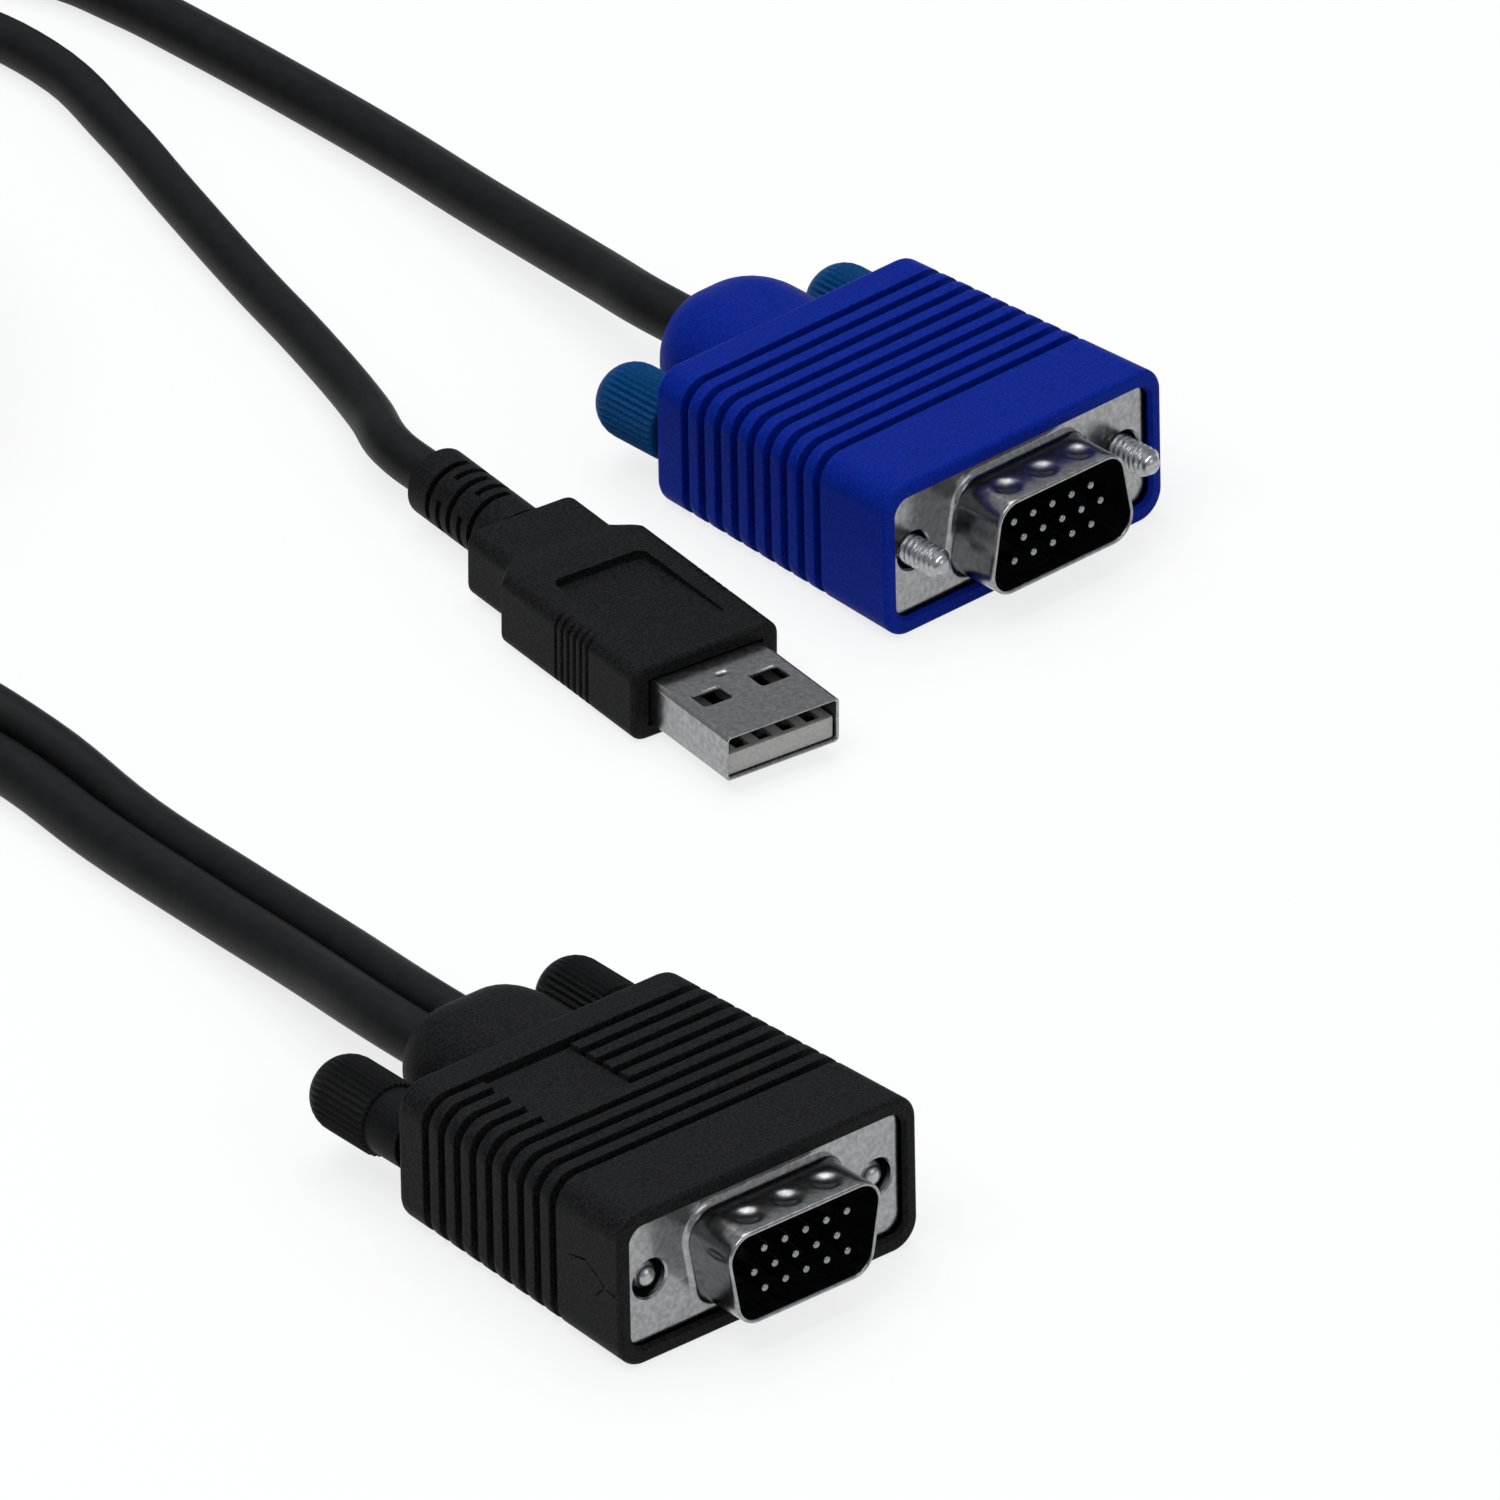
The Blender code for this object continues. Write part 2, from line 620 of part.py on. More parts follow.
def usb_panel_shape():
    """The panel sunk into the top of the body, deepest at its rear."""
    size = (USB_PANEL_RIGHT - USB_PANEL_LEFT, USB_PANEL_REAR - USB_PANEL_FRONT)
    centre = ((USB_PANEL_RIGHT + USB_PANEL_LEFT) / 2, (USB_PANEL_REAR + USB_PANEL_FRONT) / 2)
    outline = rounded_outline(size, USB_PANEL_CORNER, CORNER_STEPS, 0.0, centre)
    floor = []
    for point in outline:
        share = (point.y - USB_PANEL_FRONT) / size[1]
        depth = USB_PANEL_SHALLOW + (USB_PANEL_DEEP - USB_PANEL_SHALLOW) * share
        floor.append(Vector((point.x, point.y, USB_HEIGHT - depth)))
    return [floor, layer(outline, USB_HEIGHT + 0.001)]


def relief_slots(height):
    """Slots across the strain relief, in pairs, each row turned a quarter from the last."""
    shapes = []
    for row in range(RELIEF_SLOTS):
        start = USB_LENGTH + RELIEF_SLOT_FIRST + row * RELIEF_SLOT_PITCH
        tilt = math.radians(45 if row % 2 else -45)
        for side in (-1, 1):
            low = RELIEF_CORE / 2 if side > 0 else -RELIEF_RADIUS * 1.5
            high = RELIEF_RADIUS * 1.5 if side > 0 else -RELIEF_CORE / 2
            span = RELIEF_RADIUS * 1.5
            square = ((low, -span), (high, -span), (high, span), (low, span))
            corners = [Matrix.Rotation(tilt, 2) @ Vector(spot) for spot in square]
            outline = [(corner.x, corner.y + height) for corner in corners]
            shapes.append([section(outline, start), section(outline, start + RELIEF_SLOT_WIDTH)])
    return shapes


def make_usb_shell(parent, material):
    """The rolled steel shell, open at both ends, with two windows in its top and bottom."""
    middle = (0.0, USB_HEIGHT / 2)
    outer = rounded_outline(USB_SHELL_SIZE, USB_SHELL_CORNER, CORNER_STEPS, 0.0, middle)
    inner_size = [side - 2 * USB_SHELL_WALL for side in USB_SHELL_SIZE]
    inner = rounded_outline(inner_size, USB_SHELL_CORNER - USB_SHELL_WALL / 2, CORNER_STEPS, 0.0, middle)
    rings = [
        section(outer, -USB_SHELL_REACH),
        section(outer, USB_SHELL_ROOT),
        section(inner, USB_SHELL_ROOT),
        section(inner, -USB_SHELL_REACH),
    ]
    shell = make_piece("usb_shell", [rings], material, parent, hollow=True)
    windows = []
    for side in (-1, 1):
        for level in (-1, 1):
            across = side * USB_WINDOW_OFFSET
            up = middle[1] + level * USB_SHELL_SIZE[1] / 2
            back = -USB_SHELL_REACH + USB_WINDOW_BACK
            low = (across - USB_WINDOW_SIZE[0] / 2, back - USB_WINDOW_SIZE[1] / 2, up - 2 * USB_SHELL_WALL)
            high = (across + USB_WINDOW_SIZE[0] / 2, back + USB_WINDOW_SIZE[1] / 2, up + 2 * USB_SHELL_WALL)
            windows.append(block_shape(low, high))
    cut(shell, "usb_window_cut", windows)


def make_usb_tongue(parent, tongue_material, contact_material):
    """The tongue on the floor of the USB shell and four contacts sunk in slots on its top."""
    half = USB_SHELL_SIZE[0] / 2 - USB_SHELL_WALL - GAP
    floor = (USB_HEIGHT - USB_SHELL_SIZE[1]) / 2 + USB_SHELL_WALL + GAP
    top = floor + TONGUE_THICKNESS
    front = -USB_SHELL_REACH + TONGUE_SETBACK
    tongue_box = block_shape((-half, front, floor), (half, USB_SHELL_ROOT, top))
    tongue = make_piece("usb_tongue", [tongue_box], tongue_material, parent)
    slot_half = CONTACT_WIDTH / 2 + GAP
    slots = []
    for index in range(CONTACT_COUNT):
        across = (index - (CONTACT_COUNT - 1) / 2) * CONTACT_PITCH
        start = front + TONGUE_SETBACK
        bottom = top - CONTACT_SLOT
        far = start + CONTACT_LENGTH + 2 * GAP
        slots.append(block_shape((across - slot_half, start, bottom), (across + slot_half, far, top + 0.001)))
        low = (across - CONTACT_WIDTH / 2, start + GAP, bottom + GAP)
        high = (across + CONTACT_WIDTH / 2, start + GAP + CONTACT_LENGTH, bottom + GAP + CONTACT_THICKNESS)
        make_piece(f"usb_contact_{index + 1}", [block_shape(low, high)], contact_material, parent)
    cut(tongue, "usb_slot_cut", slots)


def usb_frame():
    """Matrix that lays the USB plug flat on the floor."""
    return Matrix.Translation((*USB_PLACE, 0.0)) @ Matrix.Rotation(USB_HEADING, 4, "Z")


def make_usb_plug(materials):
    """The whole flat plug."""
    carrier = make_empty("usb_plug", usb_frame())
    make_usb_body(carrier, materials["black_hood"])
    make_usb_shell(carrier, materials["shell"])
    make_usb_tongue(carrier, materials["tongue"], materials["pin"])


def curve_point(before, start, end, after, share):
    """Point of a Catmull-Rom curve between start and end."""
    linear = (end - before) * share
    square = (2 * before - 5 * start + 4 * end - after) * share ** 2
    cube = (3 * start - before - 3 * end + after) * share ** 3
    return start + (linear + square + cube) / 2


def smooth_path(points):
    """Points about a cord step apart along a smooth curve through the given ones."""
    points = [Vector(point) for point in points]
    padded = [2 * points[0] - points[1], *points, 2 * points[-1] - points[-2]]
    path = []
    for index in range(1, len(padded) - 2):
        span = (padded[index + 1] - padded[index]).length
        count = max(1, round(span / CORD_STEP))
        for step in range(count):
            path.append(curve_point(*padded[index - 1:index + 3], step / count))
    return path + [points[-1]]


def twin_partner(path, distance):
    """The thin cord's path: on the right of the thick cord, then turned up to lie on top of it."""
    partner = []
    for index, point in enumerate(path):
        heading = path[min(index + 1, len(path) - 1)] - path[max(index - 1, 0)]
        right = Vector((heading.y, -heading.x, 0.0)).normalized()
        share = index / (len(path) - 1)
        turn = math.pi / 2 * max(0.0, share - TWIST_START) / (1 - TWIST_START)
        up = right.cross(heading).normalized()
        partner.append(point + (right * math.cos(turn) + up * math.sin(turn)) * distance)
    return partner


def coil_tangent(angle, height, radius, way):
    """Two places in line with the coil's outer strand, the second where a cord's end meets the
    coil. The coil winds clockwise; way is 1 where the cord leaves it and -1 where it arrives."""
    strand = COIL_RADIUS + COIL_WIDTH / 2 - radius
    outer = COIL_RADIUS + COIL_WIDTH / 2 + GAP
    run = math.sqrt(outer ** 2 - (strand - radius) ** 2)
    spoke = Vector((math.cos(angle), math.sin(angle), 0.0))
    heading = Vector((spoke.y, -spoke.x, 0.0)) * way
    touch = Vector((*COIL_CENTRE, height)) + spoke * strand
    return [touch + heading * (run + CORD_STRAIGHT), touch + heading * run]


def make_cord(name, path, radius, material):
    """A plain round tube along a path, with closed ends."""
    curve = bpy.data.curves.new(name, "CURVE")
    curve.dimensions = "3D"
    curve.bevel_depth = radius
    curve.bevel_resolution = 2
    curve.use_fill_caps = True
    spline = curve.splines.new("POLY")
    spline.points.add(len(path) - 1)
    for spot, point in zip(spline.points, path):
        spot.co = (*point, 1.0)
    curve.materials.append(material)
    place_piece(name, curve, None)


def cord_start(frame, across, length):
    """Where a cord leaves a plug, and a place a little further along the plug's axis."""
    return [frame @ Vector((across, length + ahead, 0.0)) for ahead in (GAP, CORD_STRAIGHT)]


def make_coil(material):
    """The wound cords as one plain ring."""
    bottom = TIE_THICKNESS + GAP
    centre = (COIL_RADIUS, bottom + COIL_HEIGHT / 2)
    outline = rounded_outline((COIL_WIDTH, COIL_HEIGHT), COIL_CORNER, 3, 0.0, centre)
    rings = []
    for index in range(COIL_SIDES):
        turn = 2 * math.pi * index / COIL_SIDES
        spoke = Vector((math.cos(turn), math.sin(turn), 0.0))
        rings.append([spoke * point.x + Vector((*COIL_CENTRE, point.y)) for point in outline])
    make_piece("cord_coil", [rings], material, hollow=True)


def make_tie(material):
    """A flat tie closed round the coil."""
    bottom = TIE_THICKNESS + GAP
    centre = (COIL_RADIUS, bottom + COIL_HEIGHT / 2)
    inner_size = (COIL_WIDTH + 2 * GAP, COIL_HEIGHT + 2 * GAP)
    outer_size = [side + 2 * TIE_THICKNESS for side in inner_size]
    inner = rounded_outline(inner_size, COIL_CORNER + GAP, CORNER_STEPS, 0.0, centre)
    outer = rounded_outline(outer_size, COIL_CORNER + GAP + TIE_THICKNESS, CORNER_STEPS, 0.0, centre)
    half = TIE_WIDTH / 2
    rings = [section(outer, -half), section(outer, half), section(inner, half), section(inner, -half)]
    tie = make_piece("coil_tie", [rings], material, hollow=True)
    tie.location = (*COIL_CENTRE, 0.0)
    tie.rotation_euler = (0.0, 0.0, TIE_ANGLE)


def make_cords(materials):
    """Both cords: the twin stretch at the black plug, the coil and the two legs."""
    floor = TIE_THICKNESS + GAP
    layer_height = COIL_HEIGHT / 2
    pitch = THICK_RADIUS + THIN_RADIUS + GAP
    black = plug_frame(BLACK_PLACE, BLACK_HEADING, 0.0)
    thick_across = THICK_RADIUS - (2 * THICK_RADIUS + 2 * THIN_RADIUS + GAP) / 2
    route = cord_start(black, thick_across, BOSS_LENGTH) + list(TWIN_ROUTE)
    twin = smooth_path(route + coil_tangent(TWIN_IN_ANGLE, floor + THICK_RADIUS, THICK_RADIUS, -1))
    make_cord("twin_thick_cord", twin, THICK_RADIUS, materials["cord"])
    make_cord("twin_thin_cord", twin_partner(twin, pitch), THIN_RADIUS, materials["cord"])
    blue = plug_frame(BLUE_PLACE, BLUE_HEADING, math.pi)
    height = floor + layer_height + THICK_RADIUS
    route = cord_start(blue, 0.0, BOSS_LENGTH) + list(THICK_ROUTE)
    route += coil_tangent(THICK_OUT_ANGLE, height, THICK_RADIUS, 1)
    make_cord("thick_leg", smooth_path(route), THICK_RADIUS, materials["cord"])
    relief = usb_frame() @ Matrix.Translation((0.0, 0.0, USB_HEIGHT / 2))
    height = floor + COIL_HEIGHT - THIN_RADIUS
    route = cord_start(relief, 0.0, USB_LENGTH + RELIEF_LENGTH) + list(THIN_ROUTE)
    route += coil_tangent(THIN_OUT_ANGLE, height, THIN_RADIUS, 1)
    make_cord("thin_leg", smooth_path(route), THIN_RADIUS, materials["cord"])
    make_coil(materials["cord"])
    make_tie(materials["tie"])


def make_materials():
    """All materials, by what they are used for."""
    return {
        "black_hood": make_material("black_pvc", "1C1D1F", 0.55),
        "black_knob": make_material("black_knob_pvc", "151617", 0.5),
        "blue_hood": make_material("blue_pvc", "0A2A90", 0.5),
        "blue_knob": make_material("blue_knob_pvc", "0B4A8C", 0.45),
        "cord": make_material("cord_pvc", "1A1B1D", 0.5),
        "shell": make_material("nickel_plated_steel", "C6C8CA", 0.28, 1.0),
        "pin": make_material("nickel_plated_brass", "BEC0C2", 0.25, 1.0),
        "screw": make_material("zinc_plated_steel", "B4B6B8", 0.3, 1.0),
        "insulator": make_material("black_insulator", "101012", 0.5),
        "tongue": make_material("white_tongue", "E6E4DC", 0.45),
        "tie": make_material("black_tie", "18181A", 0.5),
    }


def main():
    """Build the whole cable."""
    for item in list(bpy.data.objects):
        bpy.data.objects.remove(item, do_unlink=True)
    materials = make_materials()
    single_exit = (2 * (THICK_RADIUS + BOSS_COLLAR),) * 2
    twin_exit = (2 * (THICK_RADIUS + THIN_RADIUS + BOSS_COLLAR) + GAP, 2 * (THICK_RADIUS + BOSS_COLLAR))
    black = plug_frame(BLACK_PLACE, BLACK_HEADING, 0.0)
    make_plug("black", black, materials, twin_exit, SCREW_TRAVEL)
    blue = plug_frame(BLUE_PLACE, BLUE_HEADING, math.pi)
    make_plug("blue", blue, materials, single_exit, 0.0)
    make_usb_plug(materials)
    make_cords(materials)
    bpy.context.view_layer.update()


main()
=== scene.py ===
import math

import bmesh
import bpy
from mathutils import Matrix, Vector


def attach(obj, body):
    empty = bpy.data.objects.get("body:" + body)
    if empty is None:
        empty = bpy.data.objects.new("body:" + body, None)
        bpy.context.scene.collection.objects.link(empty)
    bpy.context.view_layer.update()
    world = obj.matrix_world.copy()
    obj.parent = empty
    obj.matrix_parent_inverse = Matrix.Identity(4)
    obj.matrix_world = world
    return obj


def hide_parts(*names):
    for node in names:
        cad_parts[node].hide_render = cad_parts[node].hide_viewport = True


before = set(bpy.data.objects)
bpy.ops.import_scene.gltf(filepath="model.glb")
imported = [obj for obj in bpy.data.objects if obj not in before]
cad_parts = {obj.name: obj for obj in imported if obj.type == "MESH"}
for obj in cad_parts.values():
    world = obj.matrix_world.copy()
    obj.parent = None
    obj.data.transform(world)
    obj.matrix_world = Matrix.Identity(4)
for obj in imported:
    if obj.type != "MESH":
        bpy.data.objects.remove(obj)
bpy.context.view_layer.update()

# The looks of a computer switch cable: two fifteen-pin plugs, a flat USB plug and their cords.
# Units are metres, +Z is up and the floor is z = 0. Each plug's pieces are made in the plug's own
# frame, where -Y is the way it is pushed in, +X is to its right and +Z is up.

# Camera of the photograph: where its middle falls on the floor, its height angle and its width
VIEW_MIDDLE = (0.00082, 0.01637, 0.0)
VIEW_ELEVATION = math.radians(31.7)
VIEW_WIDTH = 0.13057
LENS = 1000.0
SENSOR = 36.0

# Where the plugs lie and which way they point
BLACK_PLACE = (-0.01735, -0.05017)
BLACK_HEADING = math.radians(39.69)
BLUE_PLACE = (0.00392, 0.06801)
BLUE_HEADING = math.radians(42.50)
USB_PLACE = (-0.00301, 0.02164)
USB_HEADING = math.radians(35.05)
SHARP_ANGLE = math.radians(40)

# Soft boxes of the studio, each with its place, size and power, and the room's own light
LIGHTS = (
    ("key_box", (-0.6, -0.4, 1.5), 0.9, 11.0),
    ("fill_box", (1.1, -0.9, 0.8), 0.8, 3.0),
    ("top_box", (0.0, 0.5, 1.5), 1.0, 9.0),
)
ROOM_COLOUR = "B8BCC0"
ROOM_LIGHT = 0.8
BOARD_REACH = 6.0
BOARD_OWN_WHITE = 0.78

# Moulded hood of the fifteen-pin plugs
HOOD_LENGTH = 0.0310
HOOD_FRONT = (0.0330, 0.0152)
HOOD_REAR = (0.0314, 0.0136)
HOOD_CORNER = 0.0026
HOOD_EDGE = 0.0009
HOOD_FRONT_EDGE = 0.0005
CORNER_STEPS = 12
GROOVE_COUNT = 9
GROOVE_FIRST = 0.0042
GROOVE_PITCH = 0.0022
GROOVE_HALF = 0.00046
GROOVE_DEPTH = 0.0010
# Sunk field on the hood's top, with the numbers of the grooves that bound it
FIELD_LEFT = -0.0096
FIELD_RIGHT = -0.0002
FIELD_DEPTH = 0.00047
FIELD_GROOVES = (0, 4)
# Flow mark: the ends of each line, by distance from the hood's front and height
MARK_LINES = (
    ((0.0070, 0.0012), (0.0046, 0.0017)),
    ((0.0045, 0.0016), (0.0031, 0.0008)),
    ((0.0030, 0.0007), (0.0021, 0.0001)),
    ((0.0020, 0.0000), (0.0006, -0.0002)),
    ((0.0034, -0.0013), (0.0023, -0.0002)),
)
MARK_WIDTH = 0.00024
MARK_DEPTH = 0.0002
MARK_THIN_END = 0.3
BOSS_SIZE = (0.0157, 0.0126)
BOSS_STRAIGHT = 0.0050
BOSS_LENGTH = 0.0112
BOSS_STEPS = 12
BOSS_COLLAR = 0.0005
BOSS_MARKS = (0.6, 0.2, -0.2, -0.6)
RIM_LIP = 0.0005
RIM_GAP = 0.0003
RIM_WINDOW = (0.0302, 0.0119)
RIM_CORNER = 0.0015
SMALL_ROUND = 0.00012
SOFT_ROUND = SMALL_ROUND * 1.5
CHAMFER = 0.3
NEARLY_ROUND = 0.98
CUT_PAST = 0.001

# Drawn steel shell and its flange
FLANGE_SIZE = (0.03081, 0.01255)
FLANGE_CORNER = 0.0018
FLANGE_THICKNESS = 0.0008
SCREW_SPACING = 0.02499
SCREW_HOLE_RADIUS = 0.0018
HOLE_SIDES = 40
CHANNEL_SIDES = 32
D_SIZE = (0.01770, 0.00920)
D_SLANT = math.radians(10)
D_CORNER = 0.0024
D_WALL = 0.0004
D_REACH = 0.0058
D_FILLET = 0.0008
D_STEPS = 14
DIMPLE_PITCH = 0.0043
DIMPLE_REACH = 0.0032
DIMPLE_RADIUS = 0.0015
DIMPLE_DEPTH = 0.00028
DIMPLE_SLOPE = 1.5

# Insulator and pins
INSULATOR_FACE = 0.0004
INSULATOR_BLOCK = (0.0192, 0.0106)
INSULATOR_LENGTH = 0.0060
PIN_RADIUS = 0.00038
PIN_TIP = 0.0002
PIN_TIP_START = math.radians(6)
PIN_TIP_STEPS = 6
PIN_SIDES = 24
SEAT_RISE = 0.0001
SEAT_TOP = PIN_RADIUS * 1.5
SEAT_FOOT = PIN_RADIUS * 1.6
PIN_REACH = 0.0052
PIN_TAIL = 0.0025
PIN_PITCH = 0.00229
PIN_ROW_SPACING = 0.00198
PIN_ROW_SHIFT = 0.00057
PINS_IN_ROW = 5

# Thumbscrews
THREAD_RADIUS = 0.0014
THREAD_CORE = 0.00108
THREAD_PITCH = 0.000635
TIP_RADIUS = 0.00095
TIP_LENGTH = 0.0006
THREAD_LENGTH = 0.0080
THREAD_START = 0.00004
THREAD_STEPS = 96
THREAD_SIDES = 28
SHANK_RADIUS = 0.0010
SHANK_ROOM = 1.3
SHANK_IN_KNOB = 0.0060
SCREW_REACH = 0.0042
SCREW_TRAVEL = 0.0042
KNOB_RADIUS = 0.00355
KNOB_LENGTH = 0.00895
KNOB_EDGE = 0.0004
KNOB_DOME = 0.0032
KNOB_DOME_TURN = math.radians(83)
KNOB_DOME_STEPS = 12
KNOB_RIDGES = 36
RIDGE_POINTS = 6
RIDGE_FADE = 0.6
KNOB_NECK_RADIUS = 0.0031
RIDGE_DEPTH = 0.00022

# Flat USB plug
USB_HEIGHT = 0.0074
USB_FRONT_WIDTH = 0.0156
USB_FRONT_LENGTH = 0.0200
USB_REAR_WIDTH = 0.0117
USB_REAR_HEIGHT = 0.0066
USB_SHOULDER = 0.0024
USB_SHOULDER_STEPS = 8
USB_SHOULDER_CURVE = 0.4
USB_LENGTH = 0.0283
USB_CORNER = 0.0014
USB_EDGE = 0.0005
USB_GRIP_COUNT = 6
USB_GRIP_FIRST = 0.0070
USB_GRIP_PITCH = 0.00095
USB_GRIP_HALF = 0.00018
USB_GRIP_DEPTH = 0.0004
USB_PANEL_REAR = 0.0166
USB_PANEL_FRONT = 0.0035
USB_PANEL_LEFT = -0.0049
USB_PANEL_RIGHT = 0.0048
USB_PANEL_CORNER = 0.0010
USB_PANEL_DEEP = 0.0008
USB_PANEL_SHALLOW = 0.0002
USB_PANEL_CUT_TOP = 0.0100
RELIEF_RADIUS = 0.00325
RELIEF_LENGTH = 0.0127
RELIEF_SLOTS = 5
RELIEF_SLOT_FIRST = 0.0030
RELIEF_SLOT_PITCH = 0.0016
RELIEF_SLOT_WIDTH = 0.0007
RELIEF_CORE = 0.0024
USB_SHELL_SIZE = (0.0120, 0.0045)
USB_SHELL_CORNER = 0.0005
CORNER_SHRINK = 0.7
USB_SHELL_WALL = 0.0003
USB_SHELL_REACH = 0.0117
USB_SHELL_ROOT = 0.0060
USB_WINDOW_SIZE = (0.0029, 0.0022)
USB_WINDOW_CORNER = 0.0003
USB_LIP_CORNER = 0.0004
USB_WINDOW_OFFSET = 0.00305
USB_WINDOW_BACK = 0.0065
USB_DIMPLE_BACK = 0.0093
USB_DIMPLE_SIZE = (0.0022, 0.0012)
TONGUE_THICKNESS = 0.00195
TONGUE_SETBACK = 0.0004
TONGUE_EDGE = 0.0002
CONTACT_COUNT = 4
CONTACT_PITCH = 0.0025
CONTACT_WIDTH = 0.0010
CONTACT_THICKNESS = 0.0002
CONTACT_SLOT = 0.0005
CONTACT_SLOT_LENGTH = 0.0095
CONTACT_ROOM = 0.0002
CONTACT_LENGTH = 0.0086
CONTACT_SINK = 0.00012
CONTACT_DIP = (0.0006, 0.0003)
FEW_STEPS = 4

# Cords and their coil
THICK_RADIUS = 0.0024
THIN_RADIUS = 0.0021
CORD_STRAIGHT = 0.0070
CORD_STEP = 0.0115
CORD_SMOOTHNESS = 6
CORD_GAP = 0.0003
CORD_OVERLAP = 0.0010
COIL_CENTRE = (-0.1088, 0.0761)
COIL_RADIUS = 0.0288
COIL_WIDTH = 0.0234
COIL_HEIGHT = 0.0182
COIL_TURNS = 8
COIL_RISE = 0.6
COIL_POINTS = 18
COIL_PITCH = 0.00485
COIL_DIP = 0.0013
COIL_CORNER = 0.0030
TIE_WIDTH = 0.0030
TIE_THICKNESS = 0.0009
TIE_ANGLE = math.radians(-25)
TWIN_IN_ANGLE = math.radians(250)
THICK_OUT_ANGLE = math.radians(150)
THIN_OUT_ANGLE = math.radians(125)
TWIST_START = 0.55

# Places that the cords pass, from plug to coil
TWIN_ROUTE = (
    (-0.0380, -0.0254, 0.0042),
    (-0.0467, -0.0133, 0.0030),
    (-0.0554, -0.0018, 0.0024),
    (-0.0641, 0.0100, 0.0024),
    (-0.0740, 0.0195, 0.0024),
    (-0.0860, 0.0275, 0.0030),
)
THICK_ROUTE = (
    (-0.0119, 0.0871, 0.0054),
    (-0.0232, 0.1032, 0.0036),
    (-0.0310, 0.1139, 0.0028),
    (-0.0380, 0.1224, 0.0024),
    (-0.0489, 0.1340, 0.0024),
    (-0.0620, 0.1455, 0.0024),
    (-0.0780, 0.1510, 0.0024),
    (-0.0960, 0.1485, 0.0028),
    (-0.1120, 0.1380, 0.0058),
    (-0.1220, 0.1260, 0.0095),
)
THIN_ROUTE = (
    (-0.0328, 0.0684, 0.0029),
    (-0.0380, 0.0810, 0.0023),
    (-0.0432, 0.0917, 0.0021),
    (-0.0502, 0.1066, 0.0021),
    (-0.0554, 0.1179, 0.0021),
    (-0.0623, 0.1301, 0.0021),
    (-0.0715, 0.1375, 0.0024),
    (-0.0830, 0.1385, 0.0048),
    (-0.0965, 0.1305, 0.0110),
)

COIL_FLOOR = TIE_THICKNESS + CORD_GAP
USB_GAP = RIM_GAP / 3

# Places along a fifteen-pin plug, measured forward from the hood's rear face
FLANGE_FRONT = HOOD_LENGTH - RIM_LIP - RIM_GAP
FLANGE_BACK = FLANGE_FRONT - FLANGE_THICKNESS
SHELL_FRONT = FLANGE_FRONT + D_REACH
INSULATOR_FRONT = FLANGE_FRONT + INSULATOR_FACE
BLOCK_FRONT = FLANGE_BACK - RIM_GAP
BLOCK_BACK = BLOCK_FRONT - INSULATOR_LENGTH
PIN_FRONT = FLANGE_FRONT + PIN_REACH
PIN_BACK = BLOCK_BACK - PIN_TAIL
THREAD_FRONT = FLANGE_FRONT + SCREW_REACH
HOOD_PITCH = math.atan((HOOD_FRONT[1] - HOOD_REAR[1]) / 2 / HOOD_LENGTH)
SCREW_SIDE = {"left": -SCREW_SPACING / 2, "right": SCREW_SPACING / 2}
QUARTER = math.pi / 2
FULL_TURN = 2 * math.pi


def new_object(name, data):
    """A scene object for a mesh, a curve, a light or the camera."""
    thing = bpy.data.objects.new(name, data)
    bpy.context.scene.collection.objects.link(thing)
    return thing


def set_camera():
    """The photograph's camera: far away with a long lens, so that lines stay parallel."""
    data = bpy.data.cameras.new("camera")
    data.lens = LENS
    data.sensor_width = SENSOR
    distance = VIEW_WIDTH * LENS / SENSOR
    data.clip_start = distance * 0.1
    data.clip_end = distance * 10
    camera = new_object("camera", data)
    back = Vector((0.0, -math.cos(VIEW_ELEVATION), math.sin(VIEW_ELEVATION)))
    camera.location = Vector(VIEW_MIDDLE) + back * distance
    camera.rotation_euler = (QUARTER - VIEW_ELEVATION, 0.0, 0.0)
    bpy.context.scene.camera = camera


def add_light(name, place, size, power):
    """A square soft box that faces the middle of the floor."""
    data = bpy.data.lights.new(name, "AREA")
    data.shape = "SQUARE"
    data.size = size
    data.energy = power
    light = new_object(name, data)
    light.location = place
    light.rotation_euler = (Vector() - Vector(place)).to_track_quat("-Z", "Y").to_euler()


def set_lights():
    """Soft studio light: a key from the upper left, a fill, and a broad box above and behind."""
    for light in LIGHTS:
        add_light(*light)
    world = bpy.data.worlds.new("studio")
    world.use_nodes = True
    bpy.context.scene.world = world
    room = world.node_tree.nodes["Background"]
    room.inputs["Color"].default_value = hex_colour(ROOM_COLOUR)
    room.inputs["Strength"].default_value = ROOM_LIGHT
    bpy.context.scene.view_settings.view_transform = "Standard"


def hex_colour(code):
    """Turn a six-digit sRGB code into Blender's linear colour."""
    values = [int(code[start:start + 2], 16) / 255 for start in (0, 2, 4)]
    linear = [v / 12.92 if v <= 0.04045 else ((v + 0.055) / 1.055) ** 2.4 for v in values]
    return (*linear, 1.0)


def add(tree, kind, inputs=(), **settings):
    """A shader node with its settings; inputs pairs each socket with a value or a link."""
    node = tree.nodes.new(kind)
    for key, value in settings.items():
        setattr(node, key, value)
    for key, value in inputs:
        if isinstance(value, bpy.types.NodeSocket):
            tree.links.new(value, node.inputs[key])
        else:
            node.inputs[key].default_value = value
    return node


def new_material(name):
    """A new material, its nodes, its Principled shader and the place on the piece, in metres."""
    material = bpy.data.materials.new(name)
    material.use_nodes = True
    tree = material.node_tree
    shader = tree.nodes["Principled BSDF"]
    place = add(tree, "ShaderNodeTexCoord").outputs["Object"]
    return material, tree, shader, place


